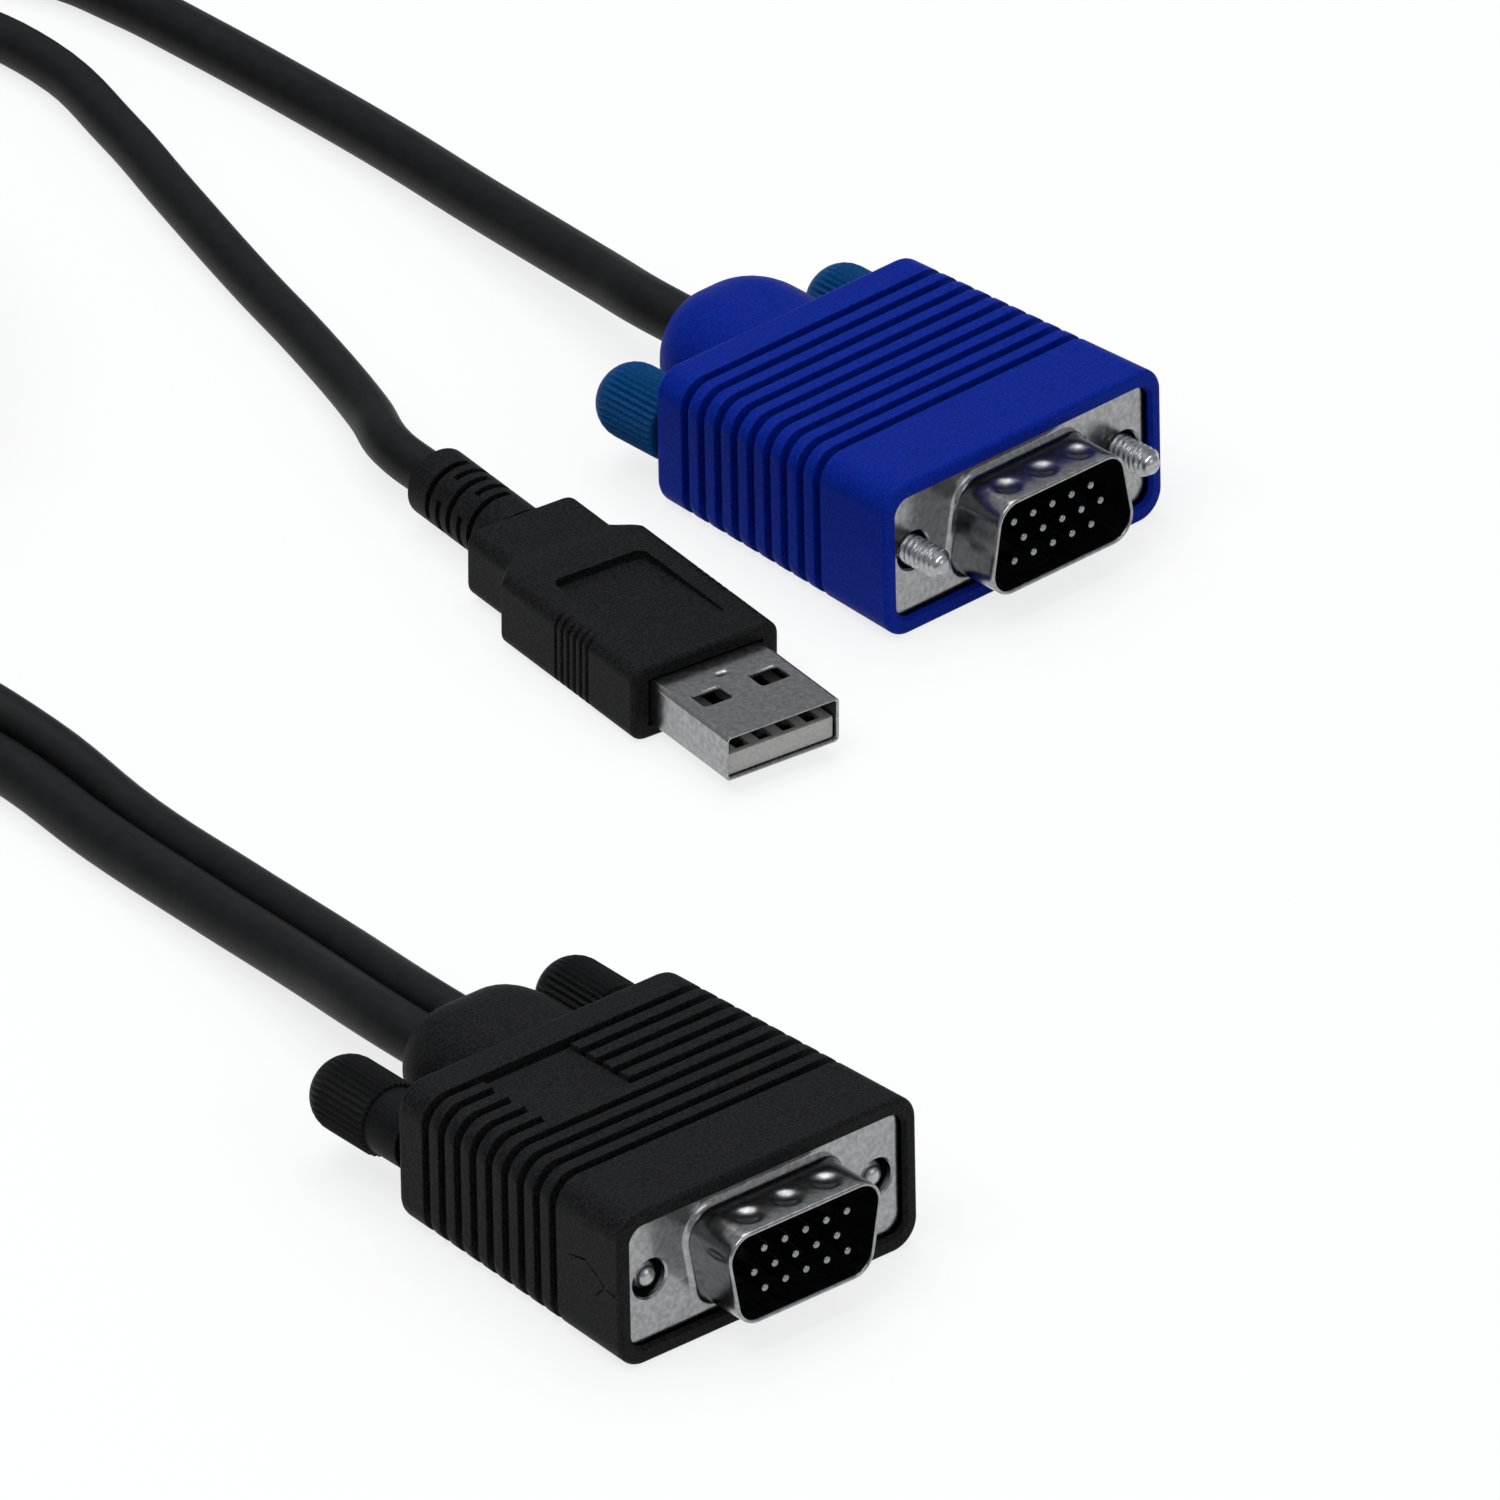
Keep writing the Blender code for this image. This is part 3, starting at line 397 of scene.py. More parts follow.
def spots(tree, place, size_mm, detail=2.0):
    """A soft pattern whose spots have a real size."""
    settings = [("Vector", place), ("Scale", 1000 / size_mm), ("Detail", detail)]
    return add(tree, "ShaderNodeTexNoise", settings).outputs[0]


def two_tone(tree, place, first, second, size_mm, low=0.35, high=0.65, detail=2.0):
    """Colour that drifts between two codes in soft patches of a real size."""
    noise = spots(tree, place, size_mm, detail)
    ramp = add(tree, "ShaderNodeValToRGB", [("Fac", noise)])
    for stop, spot, code in zip(ramp.color_ramp.elements, (low, high), (first, second)):
        stop.position = spot
        stop.color = hex_colour(code)
    return ramp.outputs["Color"]


def grain_bump(tree, shader, place, size_mm, depth_mm, strength, detail=2.0):
    """Raised grain of a real size under the surface's shading."""
    noise = spots(tree, place, size_mm, detail)
    bump = add(tree, "ShaderNodeBump", [
        ("Height", noise), ("Distance", depth_mm / 1000), ("Strength", strength),
    ])
    tree.links.new(bump.outputs["Normal"], shader.inputs["Normal"])
    return noise


def vary_roughness(tree, shader, source, low, high):
    """Roughness that follows a pattern between two values."""
    spread = add(tree, "ShaderNodeMapRange", [("Value", source), ("To Min", low), ("To Max", high)])
    tree.links.new(spread.outputs["Result"], shader.inputs["Roughness"])


def moulded_pvc(name, first, second, low, high, level):
    """Soft PVC from a spark-eroded mould: even colour, a fine dull grain and no mirror highlights.
    The real grain is about 0.05 mm; it is drawn at 0.18 mm so that it shows."""
    material, tree, shader, place = new_material(name)
    colour = two_tone(tree, place, first, second, size_mm=0.24, low=0.4, high=0.6)
    tree.links.new(colour, shader.inputs["Base Color"])
    source = grain_bump(tree, shader, place, size_mm=0.18, depth_mm=0.022, strength=0.7)
    vary_roughness(tree, shader, source, low, high)
    shader.inputs["Specular IOR Level"].default_value = level
    return material


def extruded_pvc(name, first, second):
    """Extruded PVC jacket: smoother than the mouldings, softly patchy, with a faint satin sheen."""
    material, tree, shader, place = new_material(name)
    colour = two_tone(tree, place, first, second, size_mm=1.6, detail=4.0)
    tree.links.new(colour, shader.inputs["Base Color"])
    source = grain_bump(tree, shader, place, size_mm=0.25, depth_mm=0.010, strength=0.4)
    vary_roughness(tree, shader, source, low=0.42, high=0.58)
    shader.inputs["Specular IOR Level"].default_value = 0.15
    return material


def thin_plating(name, first, second, low, high):
    """Thin plating on drawn metal: a grey mirror, gently wavy and rubbed duller in spots."""
    material, tree, shader, place = new_material(name)
    colour = two_tone(tree, place, first, second, size_mm=0.5, detail=3.0)
    tree.links.new(colour, shader.inputs["Base Color"])
    shader.inputs["Metallic"].default_value = 1.0
    grain_bump(tree, shader, place, size_mm=2.2, depth_mm=0.06, strength=0.3, detail=1.5)
    vary_roughness(tree, shader, spots(tree, place, size_mm=0.6, detail=3.0), low, high)
    return material


def hard_moulding(name, first, second, roughness, level):
    """Glass-filled polyester or nylon: hard and even, with a dull skin and tiny specks."""
    material, tree, shader, place = new_material(name)
    tree.links.new(two_tone(tree, place, first, second, size_mm=0.3), shader.inputs["Base Color"])
    source = grain_bump(tree, shader, place, size_mm=0.2, depth_mm=0.006, strength=0.4)
    vary_roughness(tree, shader, source, roughness - 0.06, roughness + 0.06)
    shader.inputs["Specular IOR Level"].default_value = level
    return material


def studio_floor():
    """Matt white board. What the camera and mirrors see is mostly its own white, and the rest is
    lit, so that it keeps the cable's shadow."""
    material, tree, shader, _ = new_material("white_board")
    shader.inputs["Base Color"].default_value = hex_colour("F4F4F4")
    shader.inputs["Roughness"].default_value = 0.9
    path = add(tree, "ShaderNodeLightPath")
    seen = add(tree, "ShaderNodeMath", [
        (0, path.outputs["Is Camera Ray"]), (1, path.outputs["Is Glossy Ray"]),
    ], operation="MAXIMUM")
    inputs = [(0, seen.outputs[0]), (1, BOARD_OWN_WHITE)]
    share = add(tree, "ShaderNodeMath", inputs, operation="MULTIPLY")
    white = add(tree, "ShaderNodeEmission", [("Color", (1.0, 1.0, 1.0, 1.0)), ("Strength", 1.0)])
    mix = add(tree, "ShaderNodeMixShader", [
        (0, share.outputs[0]), (1, shader.outputs[0]), (2, white.outputs[0]),
    ])
    tree.links.new(mix.outputs[0], tree.nodes["Material Output"].inputs["Surface"])
    return material


def make_materials():
    """All finishes, by what they are used for."""
    return {
        "black_pvc": moulded_pvc("moulded_black_pvc", "0B0B0C", "1C1C1D", 0.5, 0.66, 0.08),
        "black_knob_pvc": moulded_pvc("moulded_knob_black_pvc", "0C0C0D", "131314", 0.44, 0.58, 0.08),
        "blue_pvc": moulded_pvc("moulded_blue_pvc", "021A7A", "03258C", 0.48, 0.62, 0.05),
        "blue_knob_pvc": moulded_pvc("moulded_teal_blue_pvc", "023867", "054375", 0.42, 0.56, 0.06),
        "cord_pvc": extruded_pvc("extruded_black_pvc", "0B0B0C", "111112"),
        "nickel_plated_steel": thin_plating("nickel_plated_steel", "8A8B8C", "A2A2A3", 0.15, 0.27),
        "zinc_plated_steel": thin_plating("zinc_plated_steel", "9C9EA1", "B4B6B8", 0.22, 0.36),
        "nickel_plated_brass": thin_plating("nickel_plated_brass", "7C7E80", "949698", 0.08, 0.14),
        "black_insulator": hard_moulding("black_polyester", "070708", "0C0C0D", 0.55, 0.1),
        "white_tongue": hard_moulding("white_polyester", "A09E9A", "AFADA8", 0.45, 0.4),
        "black_tie": hard_moulding("black_nylon", "0C0C0D", "131314", 0.45, 0.2),
    }


def rounded_outline(size, radius, steps=CORNER_STEPS, slant=0.0, centre=(0.0, 0.0)):
    """Counter-clockwise outline of a rectangle with round corners; slant leans its sides inward
    towards the bottom, which makes a D."""
    half_width = size[0] / 2
    half_height = size[1] / 2
    narrow = half_width - size[1] * math.tan(slant)
    corners = [Vector((-narrow, -half_height)), Vector((narrow, -half_height))]
    corners += [Vector((half_width, half_height)), Vector((-half_width, half_height))]
    points = []
    for index, corner in enumerate(corners):
        back = (corners[index - 1] - corner).normalized()
        ahead = (corners[(index + 1) % 4] - corner).normalized()
        half_angle = back.angle(ahead) / 2
        middle = corner + (back + ahead).normalized() * radius / math.sin(half_angle)
        start = corner + back * radius / math.tan(half_angle) - middle
        for step in range(steps + 1):
            turn = (math.pi - 2 * half_angle) * step / steps
            points.append(middle + Matrix.Rotation(turn, 2) @ start + Vector(centre))
    return points


def circle(radius, sides, centre=(0.0, 0.0)):
    """Counter-clockwise points of a circle."""
    turns = [FULL_TURN * index / sides for index in range(sides)]
    x, y = centre
    return [Vector((x + radius * math.cos(turn), y + radius * math.sin(turn))) for turn in turns]


def section(outline, depth):
    """Stand a flat outline up across the Y axis at a depth."""
    return [Vector((point[0], depth, point[1])) for point in outline]


def layer(outline, height):
    """Lay a flat outline at a height."""
    return [Vector((point[0], point[1], height)) for point in outline]


def turned(profile, sides, centre=(0.0, 0.0)):
    """Sections of a shape turned about an axis along Y, from (depth, radius) pairs."""
    return [section(circle(radius, sides, centre), depth) for depth, radius in profile]


def block_shape(low, high):
    """Two sections of a plain box between two corners."""
    outline = [(low[0], low[2]), (high[0], low[2]), (high[0], high[2]), (low[0], high[2])]
    return [section(outline, low[1]), section(outline, high[1])]


def skin(mesh, rings, hollow):
    """Join a row of equal sections: a hollow one closes on itself, any other has end caps."""
    loops = [[mesh.verts.new(point) for point in ring] for ring in rings]
    pairs = list(zip(loops, loops[1:]))
    if hollow:
        pairs.append((loops[-1], loops[0]))
    else:
        mesh.faces.new(loops[0])
        mesh.faces.new(loops[-1])
    for first, second in pairs:
        for index in range(len(first)):
            after = (index + 1) % len(first)
            mesh.faces.new((first[index], first[after], second[after], second[index]))


def smoothed(data):
    """Shade a mesh smooth but for its sharp edges."""
    data.shade_smooth()
    data.set_sharp_from_angle(angle=SHARP_ANGLE)
    return data


def make_piece(name, shapes, hollow=False):
    """A piece from rows of sections, one row for each closed shape."""
    mesh = bmesh.new()
    for rings in shapes:
        skin(mesh, rings, hollow)
    bmesh.ops.recalc_face_normals(mesh, faces=mesh.faces)
    data = bpy.data.meshes.new(name)
    mesh.to_mesh(data)
    mesh.free()
    return new_object(name, smoothed(data))


def cut(piece, shapes):
    """Take shapes, which don't touch each other, out of a piece, for good."""
    cutter = make_piece("cutter", shapes)
    modifier = piece.modifiers.new("cut", "BOOLEAN")
    modifier.object = cutter
    apply_modifiers(piece)
    bpy.data.objects.remove(cutter)


def apply_modifiers(piece):
    """Make what a piece's modifiers show its own mesh."""
    bpy.context.view_layer.update()
    depsgraph = bpy.context.evaluated_depsgraph_get()
    data = bpy.data.meshes.new_from_object(piece.evaluated_get(depsgraph))
    piece.modifiers.clear()
    piece.data = smoothed(data)


def dress(piece, matrix, finishes, slot, body, *nodes):
    """Put a finished piece in its place, on its body, instead of its CAD nodes."""
    piece.data.transform(matrix)
    piece.data.materials.clear()
    piece.data.materials.append(finishes[slot])
    even = piece.modifiers.new("even_normals", "WEIGHTED_NORMAL")
    even.keep_sharp = True
    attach(piece, body)
    if nodes:
        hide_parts(*nodes)
    return piece


def ease(share):
    """A share from 0 to 1 with a soft start and end."""
    return share * share * (3 - 2 * share)


def edge_steps(radius, count=5):
    """Distance from an end face and inset of each section that rounds the edge there."""
    turns = [QUARTER * step / count for step in range(count, -1, -1)]
    return [(radius * (1 - math.sin(turn)), radius * (1 - math.cos(turn))) for turn in turns]


def groove_steps(half, depth):
    """Offset and inset of each section across a moulded groove with soft lips and floor."""
    soft = SMALL_ROUND
    bevel = soft * CHAMFER
    near = [(-half - soft, 0.0), (-half - bevel, bevel), (-half, soft)]
    near += [(-half + bevel, depth - soft), (-half + soft, depth)]
    return near + [(-offset, inset) for offset, inset in reversed(near)]


def hood_stations():
    """Each section of the ribbed hood: distance forward, inset, and inset in the sunk field."""
    stations = [(ahead, inset, inset) for ahead, inset in edge_steps(HOOD_EDGE)]
    first, last = FIELD_GROOVES
    for index in range(GROOVE_COUNT):
        middle = GROOVE_FIRST + index * GROOVE_PITCH
        for offset, inset in groove_steps(GROOVE_HALF, GROOVE_DEPTH):
            floor = inset
            if first < index < last or (index == last and offset < GROOVE_HALF - SMALL_ROUND / 2):
                floor = FIELD_DEPTH
            elif index == first and offset > 0:
                floor = max(inset, FIELD_DEPTH)
            stations.append((middle + offset, inset, floor))
    rounded = [(HOOD_LENGTH - ahead, inset, inset) for ahead, inset in edge_steps(HOOD_FRONT_EDGE)]
    return stations + rounded[::-1]


def hood_outline(size, inset, floor, radius, marks):
    """A section of the hood: four more points on its top edge bound the sunk field."""
    outline = rounded_outline((size[0] - 2 * inset, size[1] - 2 * inset), radius)
    top = size[1] / 2
    heights = (top - inset, top - floor, top - floor, top - inset)
    at = len(outline) * 3 // 4
    return outline[:at] + list(zip(marks, heights)) + outline[at:]


def hood_sections():
    """Sections of the tapered hood from its rear face to its front."""
    marks = (FIELD_RIGHT + SMALL_ROUND, FIELD_RIGHT, FIELD_LEFT, FIELD_LEFT - SMALL_ROUND)
    sections = []
    for ahead, inset, floor in hood_stations():
        share = ahead / HOOD_LENGTH
        size = [rear + (front - rear) * share for rear, front in zip(HOOD_REAR, HOOD_FRONT)]
        outline = hood_outline(size, inset, floor, HOOD_CORNER - inset / 2, marks)
        sections.append(section(outline, -ahead))
    return sections


def boss_sections(exit_size):
    """Sections of the oval boss, from the end where the cord leaves to the hood's rear face."""
    sections = []
    for step in range(BOSS_STEPS + 1):
        turn = QUARTER * step / BOSS_STEPS
        back = BOSS_STRAIGHT + (BOSS_LENGTH - BOSS_STRAIGHT) * math.cos(turn)
        size = [small + (full - small) * math.sin(turn) for small, full in zip(exit_size, BOSS_SIZE)]
        radius = size[1] / 2 * NEARLY_ROUND
        marks = [(size[0] / 2 - radius) * share for share in BOSS_MARKS]
        outline = hood_outline(size, 0.0, 0.0, radius, marks)
        sections.append(section(outline, back))
    root = [Vector((point.x, 0.0, point.z)) for point in sections[-1]]
    return sections + [root]


def make_hood(exit_size):
    """The moulded hood with its boss, the pocket of its flange and its two screw channels."""
    hood = make_piece("hood", [boss_sections(exit_size) + hood_sections()])
    window = rounded_outline(RIM_WINDOW, RIM_CORNER)
    flare = rounded_outline([side + 2 * RIM_GAP for side in RIM_WINDOW], RIM_CORNER + RIM_GAP)
    pocket = rounded_outline([side + 2 * RIM_GAP for side in FLANGE_SIZE], FLANGE_CORNER)
    lip_back = HOOD_LENGTH - RIM_LIP
    cut(hood, [[
        section(flare, -HOOD_LENGTH - 2 * CUT_PAST),
        section(flare, -HOOD_LENGTH),
        section(window, -HOOD_LENGTH + RIM_GAP),
        section(window, -lip_back),
        section(pocket, -lip_back),
        section(pocket, -(FLANGE_BACK - RIM_GAP)),
    ]])
    bore = SCREW_HOLE_RADIUS
    narrow = SHANK_RADIUS * SHANK_ROOM
    profile = [(-FLANGE_BACK, bore), (-BLOCK_BACK, bore), (-BLOCK_BACK, narrow)]
    profile += [(-HOOD_EDGE * 2, narrow), (-HOOD_EDGE * 2, bore), (2 * CUT_PAST, bore)]
    cut(hood, [turned(profile, CHANNEL_SIDES, (x, 0.0)) for x in SCREW_SIDE.values()])
    return hood


def add_flow_mark(hood):
    """Shallow lines that the melt left on the black hood's left side, near its front."""
    taper = (HOOD_FRONT[0] - HOOD_REAR[0]) / 2 / HOOD_LENGTH
    side = -HOOD_REAR[0] / 2
    for start, end in MARK_LINES:
        first, last = (Vector((behind - HOOD_LENGTH, height)) for behind, height in (start, end))
        across = (last - first).orthogonal().normalized() * MARK_WIDTH / 2
        thin = across * MARK_THIN_END
        corners = [first + thin, first - thin, last - across, last + across]
        rings = []
        for level in (side - CUT_PAST, side + MARK_DEPTH):
            rings.append([Vector((level + corner.x * taper, *corner)) for corner in corners])
        cut(hood, [rings])


def d_outline(inset):
    """The shell's D, shrunk by an inset on every side."""
    size = [side - 2 * inset for side in D_SIZE]
    return rounded_outline(size, max(D_CORNER - inset, D_WALL), CORNER_STEPS, D_SLANT)


def dent(point):
    """Sink a point of the shell's top or bottom wall into the nearest pressed dimple."""
    if abs(point.z) < D_SIZE[1] / 2 - 2 * D_WALL:
        return point
    nearest = max(-1, min(1, round(point.x / DIMPLE_PITCH))) * DIMPLE_PITCH
    away = math.hypot(point.x - nearest, point.y + FLANGE_FRONT + DIMPLE_REACH)
    depth = DIMPLE_DEPTH * max(0.0, 1 - (away / DIMPLE_RADIUS) ** 2) ** DIMPLE_SLOPE
    return Vector((point.x, point.y, point.z - math.copysign(depth, point.z)))


def make_shell():
    """The drawn shell: flange, filleted root, D-shaped wall with pressed dimples and rolled lip."""
    wall_front = SHELL_FRONT - D_WALL / 2
    fillet_front = FLANGE_FRONT + D_FILLET
    wall = wall_front - fillet_front
    spread = [fillet_front + wall * step / D_STEPS for step in range(D_STEPS + 1)]
    plan = [(D_WALL, FLANGE_BACK)] + [(D_WALL, ahead) for ahead in spread]
    for turn in range(30, 180, 30):
        angle = math.radians(turn)
        plan.append((D_WALL / 2 * (1 + math.cos(angle)), wall_front + D_WALL / 2 * math.sin(angle)))
    plan += [(0.0, ahead) for ahead in reversed(spread)]
    for turn in range(75, -1, -15):
        angle = math.radians(turn)
        plan.append((-D_FILLET * (1 - math.sin(angle)), fillet_front - D_FILLET * math.cos(angle)))
    rings = []
    for inset, ahead in plan:
        outline = split_sides(d_outline(inset))
        rings.append([dent(point) for point in section(outline, -ahead)])
    rim = split_sides(rounded_outline(FLANGE_SIZE, FLANGE_CORNER))
    rings += [section(rim, -FLANGE_FRONT), section(rim, -FLANGE_BACK)]
    shell = make_piece("shell", [rings], hollow=True)
    hole = SCREW_HOLE_RADIUS
    mouth = hole + SOFT_ROUND
    profile = [(-FLANGE_FRONT - CUT_PAST, mouth), (-FLANGE_FRONT, mouth)]
    profile += [(-FLANGE_FRONT + SOFT_ROUND, hole), (-FLANGE_BACK + CUT_PAST, hole)]
    cut(shell, [turned(profile, HOLE_SIDES, (x, 0.0)) for x in SCREW_SIDE.values()])
    return shell


def split_sides(outline, count=40):
    """Split each of the four straight sides of a rounded outline into the same number of parts."""
    side = len(outline) // 4
    points = []
    for index, start in enumerate(outline):
        points.append(start)
        if index % side == side - 1:
            end = outline[(index + 1) % len(outline)]
            points += [start.lerp(end, share / count) for share in range(1, count)]
    return points


def pin_places():
    """Across and up places of the fifteen pins in three rows."""
    places = []
    for row, shift in ((1, PIN_ROW_SHIFT), (0, -PIN_ROW_SHIFT), (-1, PIN_ROW_SHIFT)):
        for index in range(PINS_IN_ROW):
            across = (index - (PINS_IN_ROW - 1) / 2) * PIN_PITCH + shift
            places.append((across, row * PIN_ROW_SPACING))
    return places


def make_insulator():
    """The insulator: a D in the shell with a raised seat round each pin, and a block behind."""
    face = d_outline(D_WALL + RIM_GAP / 4)
    block = rounded_outline(INSULATOR_BLOCK, RIM_CORNER)
    shapes = [[
        section(face, -INSULATOR_FRONT),
        section(face, -BLOCK_FRONT),
        section(block, -BLOCK_FRONT),
        section(block, -BLOCK_BACK),
    ]]
    seat = [(-INSULATOR_FRONT - SEAT_RISE, SEAT_TOP), (-INSULATOR_FRONT + SEAT_RISE, SEAT_FOOT)]
    shapes += [turned(seat, PIN_SIDES, place) for place in pin_places()]
    return make_piece("insulator", shapes)


def make_pin(place):
    """One round pin with a domed tip."""
    profile = []
    for step in range(PIN_TIP_STEPS + 1):
        turn = PIN_TIP_START + (QUARTER - PIN_TIP_START) * step / PIN_TIP_STEPS
        profile.append((-(PIN_FRONT - PIN_TIP * (1 - math.cos(turn))), PIN_RADIUS * math.sin(turn)))
    profile.append((-PIN_BACK, PIN_RADIUS))
    return make_piece("pin", [turned(profile, PIN_SIDES, place)])


def ridged_outline(radius, depth):
    """The knob's outline: a circle with fine round ridges."""
    lows = [0.5 - 0.5 * math.cos(FULL_TURN * index / RIDGE_POINTS) for index in range(RIDGE_POINTS)]
    shares = [1 - depth / radius * low for low in lows] * KNOB_RIDGES
    return [point * share for point, share in zip(circle(radius, len(shares)), shares)]


def make_knob(pulled):
    """A moulded knob with fine ridges and a domed end; drawn back, it shows its smooth neck."""
    front = RIM_GAP + pulled
    dome = front + KNOB_LENGTH - KNOB_DOME
    rings = []
    if pulled:
        steps = edge_steps(SMALL_ROUND, 3)
        neck = [(RIM_GAP + ahead, KNOB_NECK_RADIUS - inset) for ahead, inset in steps]
        rings += turned(neck + [(front, KNOB_NECK_RADIUS)], RIDGE_POINTS * KNOB_RIDGES)
    for ahead, inset in edge_steps(KNOB_EDGE, 4):
        rings.append(section(ridged_outline(KNOB_RADIUS - inset, RIDGE_DEPTH), front + ahead))
    for step in range(KNOB_DOME_STEPS + 1):
        turn = KNOB_DOME_TURN * step / KNOB_DOME_STEPS
        depth = RIDGE_DEPTH * max(0.0, 1 - turn / RIDGE_FADE)
        outline = ridged_outline(KNOB_RADIUS * math.cos(turn), depth)
        rings.append(section(outline, dome + KNOB_DOME * math.sin(turn)))
    return make_piece("knob", [rings])


def thread_ring(ahead, tip):
    """One section of the screw's right-hand thread, cut back to a taper and a dome at the tip."""
    behind = tip - ahead
    dome = TIP_RADIUS * math.sqrt(max(0.0, 1 - max(0.0, 1 - behind / TIP_LENGTH) ** 2))
    dome += max(0.0, behind - TIP_LENGTH)
    outline = []
    for point in circle(1.0, THREAD_SIDES):
        phase = ahead / THREAD_PITCH - math.atan2(point.y, point.x) / FULL_TURN
        crest = 0.5 + 0.5 * math.cos(FULL_TURN * phase)
        outline.append(point * min(THREAD_CORE + (THREAD_RADIUS - THREAD_CORE) * crest, dome))
    return section(outline, -ahead)


def make_screw(pulled):
    """A jackscrew with a rolled thread, a domed tip and a plain shank that ends in the knob."""
    tip = THREAD_FRONT - pulled
    rings = []
    for step in range(THREAD_STEPS + 1):
        behind = THREAD_START + (THREAD_LENGTH - THREAD_START) * step / THREAD_STEPS
        rings.append(thread_ring(tip - behind, tip))
    shank = (THREAD_LENGTH - tip, RIM_GAP + pulled + SHANK_IN_KNOB)
    rings += turned([(depth, SHANK_RADIUS) for depth in shank], THREAD_SIDES)
    return make_piece("screw", [rings])


def plug_frame(place, heading, roll):
    """Matrix that lays a fifteen-pin plug on the flat underside of its tapered hood."""
    height = HOOD_REAR[1] / 2 * math.cos(HOOD_PITCH)
    spot = Matrix.Translation((place[0], place[1], height))
    lean = Matrix.Rotation(heading, 4, "Z") @ Matrix.Rotation(-HOOD_PITCH, 4, "X")
    return spot @ lean @ Matrix.Rotation(roll, 4, "Y")


def make_plug(colour, matrix, finishes, exit_size, pulled):
    """A whole fifteen-pin plug; pulled is how far back its thumbscrews are drawn."""
    hood = make_hood(exit_size)
    if colour == "black":
        add_flow_mark(hood)
    dress(hood, matrix, finishes, colour + "_pvc", "cable", colour + "_hood")
    dress(make_shell(), matrix, finishes, "nickel_plated_steel", "cable", colour + "_shell")
    dress(make_insulator(), matrix, finishes, "black_insulator", "cable", colour + "_insulator")
    for index, place in enumerate(pin_places()):
        name = f"{colour}_pin_{index + 1:02d}"
        dress(make_pin(place), matrix, finishes, "nickel_plated_brass", "cable", name)
    for side, screw_x in SCREW_SIDE.items():
        body = f"{colour}_thumbscrew_{side}"
        spot = matrix @ Matrix.Translation((screw_x, 0.0, 0.0))
        knob, screw = f"{colour}_knob_{side}", f"{colour}_screw_{side}"
        dress(make_knob(pulled), spot, finishes, colour + "_knob_pvc", body, knob)
        dress(make_screw(pulled), spot, finishes, "zinc_plated_steel", body, screw)


def usb_stations():
    """Distance back, width and height of each section of the USB body."""
    stations = []
    for ahead, inset in edge_steps(USB_EDGE):
        stations.append((ahead, USB_FRONT_WIDTH - 2 * inset, USB_HEIGHT - 2 * inset))
    for index in range(USB_GRIP_COUNT):
        middle = USB_GRIP_FIRST + index * USB_GRIP_PITCH
        for offset, inset in groove_steps(USB_GRIP_HALF, USB_GRIP_DEPTH):
            stations.append((middle + offset, USB_FRONT_WIDTH - 2 * inset, USB_HEIGHT))
    for step in range(USB_SHOULDER_STEPS + 1):
        share = step / USB_SHOULDER_STEPS
        blend = share + (ease(share) - share) * USB_SHOULDER_CURVE
        width = USB_FRONT_WIDTH + (USB_REAR_WIDTH - USB_FRONT_WIDTH) * blend
        height = USB_HEIGHT + (USB_REAR_HEIGHT - USB_HEIGHT) * blend
        stations.append((USB_FRONT_LENGTH + USB_SHOULDER * share, width, height))
    for ahead, inset in reversed(edge_steps(USB_EDGE)):
        stations.append((USB_LENGTH - ahead, USB_REAR_WIDTH - 2 * inset, USB_REAR_HEIGHT - 2 * inset))
    return stations


def make_usb_body():
    """The moulded USB body with its sunk panel and its slotted strain relief."""
    middle = (0.0, USB_HEIGHT / 2)
    sections = [
        section(rounded_outline(size, USB_CORNER, centre=middle), back)
        for back, *size in usb_stations()
    ]
    relief = rounded_outline((2 * RELIEF_RADIUS,) * 2, RELIEF_RADIUS * NEARLY_ROUND, centre=middle)
    sections.append(section(relief, USB_LENGTH))
    sections.append(section(relief, USB_LENGTH + RELIEF_LENGTH))
    body = make_piece("usb_body", [sections])
    half_width, half_height = (side / 2 + USB_GAP for side in USB_SHELL_SIZE)
    low = (-half_width, -2 * CUT_PAST, middle[1] - half_height)
    cut(body, [block_shape(low, (half_width, USB_SHELL_ROOT + RIM_GAP, middle[1] + half_height))])
    size = (USB_PANEL_RIGHT - USB_PANEL_LEFT, USB_PANEL_REAR - USB_PANEL_FRONT)
    centre = ((USB_PANEL_RIGHT + USB_PANEL_LEFT) / 2, (USB_PANEL_REAR + USB_PANEL_FRONT) / 2)
    outline = rounded_outline(size, USB_PANEL_CORNER, centre=centre)
    slope = (USB_PANEL_DEEP - USB_PANEL_SHALLOW) / size[1]
    deep = [USB_PANEL_SHALLOW + slope * (point.y - USB_PANEL_FRONT) for point in outline]
    floor = [Vector((point.x, point.y, USB_HEIGHT - sink)) for point, sink in zip(outline, deep)]
    cut(body, [[floor, layer(outline, USB_PANEL_CUT_TOP)]])
    cut(body, relief_slots(middle[1]))
    return body


def relief_slots(height):
    """Slots across the strain relief, in pairs, each row turned a quarter from the last."""
    span = RELIEF_RADIUS * 1.5
    core = RELIEF_CORE / 2
    shapes = []
    for row in range(RELIEF_SLOTS):
        start = USB_LENGTH + RELIEF_SLOT_FIRST + row * RELIEF_SLOT_PITCH
        tilt = math.radians(45 if row % 2 else -45)
        for low, high in ((-span, -core), (core, span)):
            square = ((low, -span), (high, -span), (high, span), (low, span))
            corners = [Matrix.Rotation(tilt, 2) @ Vector(spot) for spot in square]
            outline = [(corner.x, corner.y + height) for corner in corners]
            shapes.append([section(outline, start), section(outline, start + RELIEF_SLOT_WIDTH)])
    return shapes


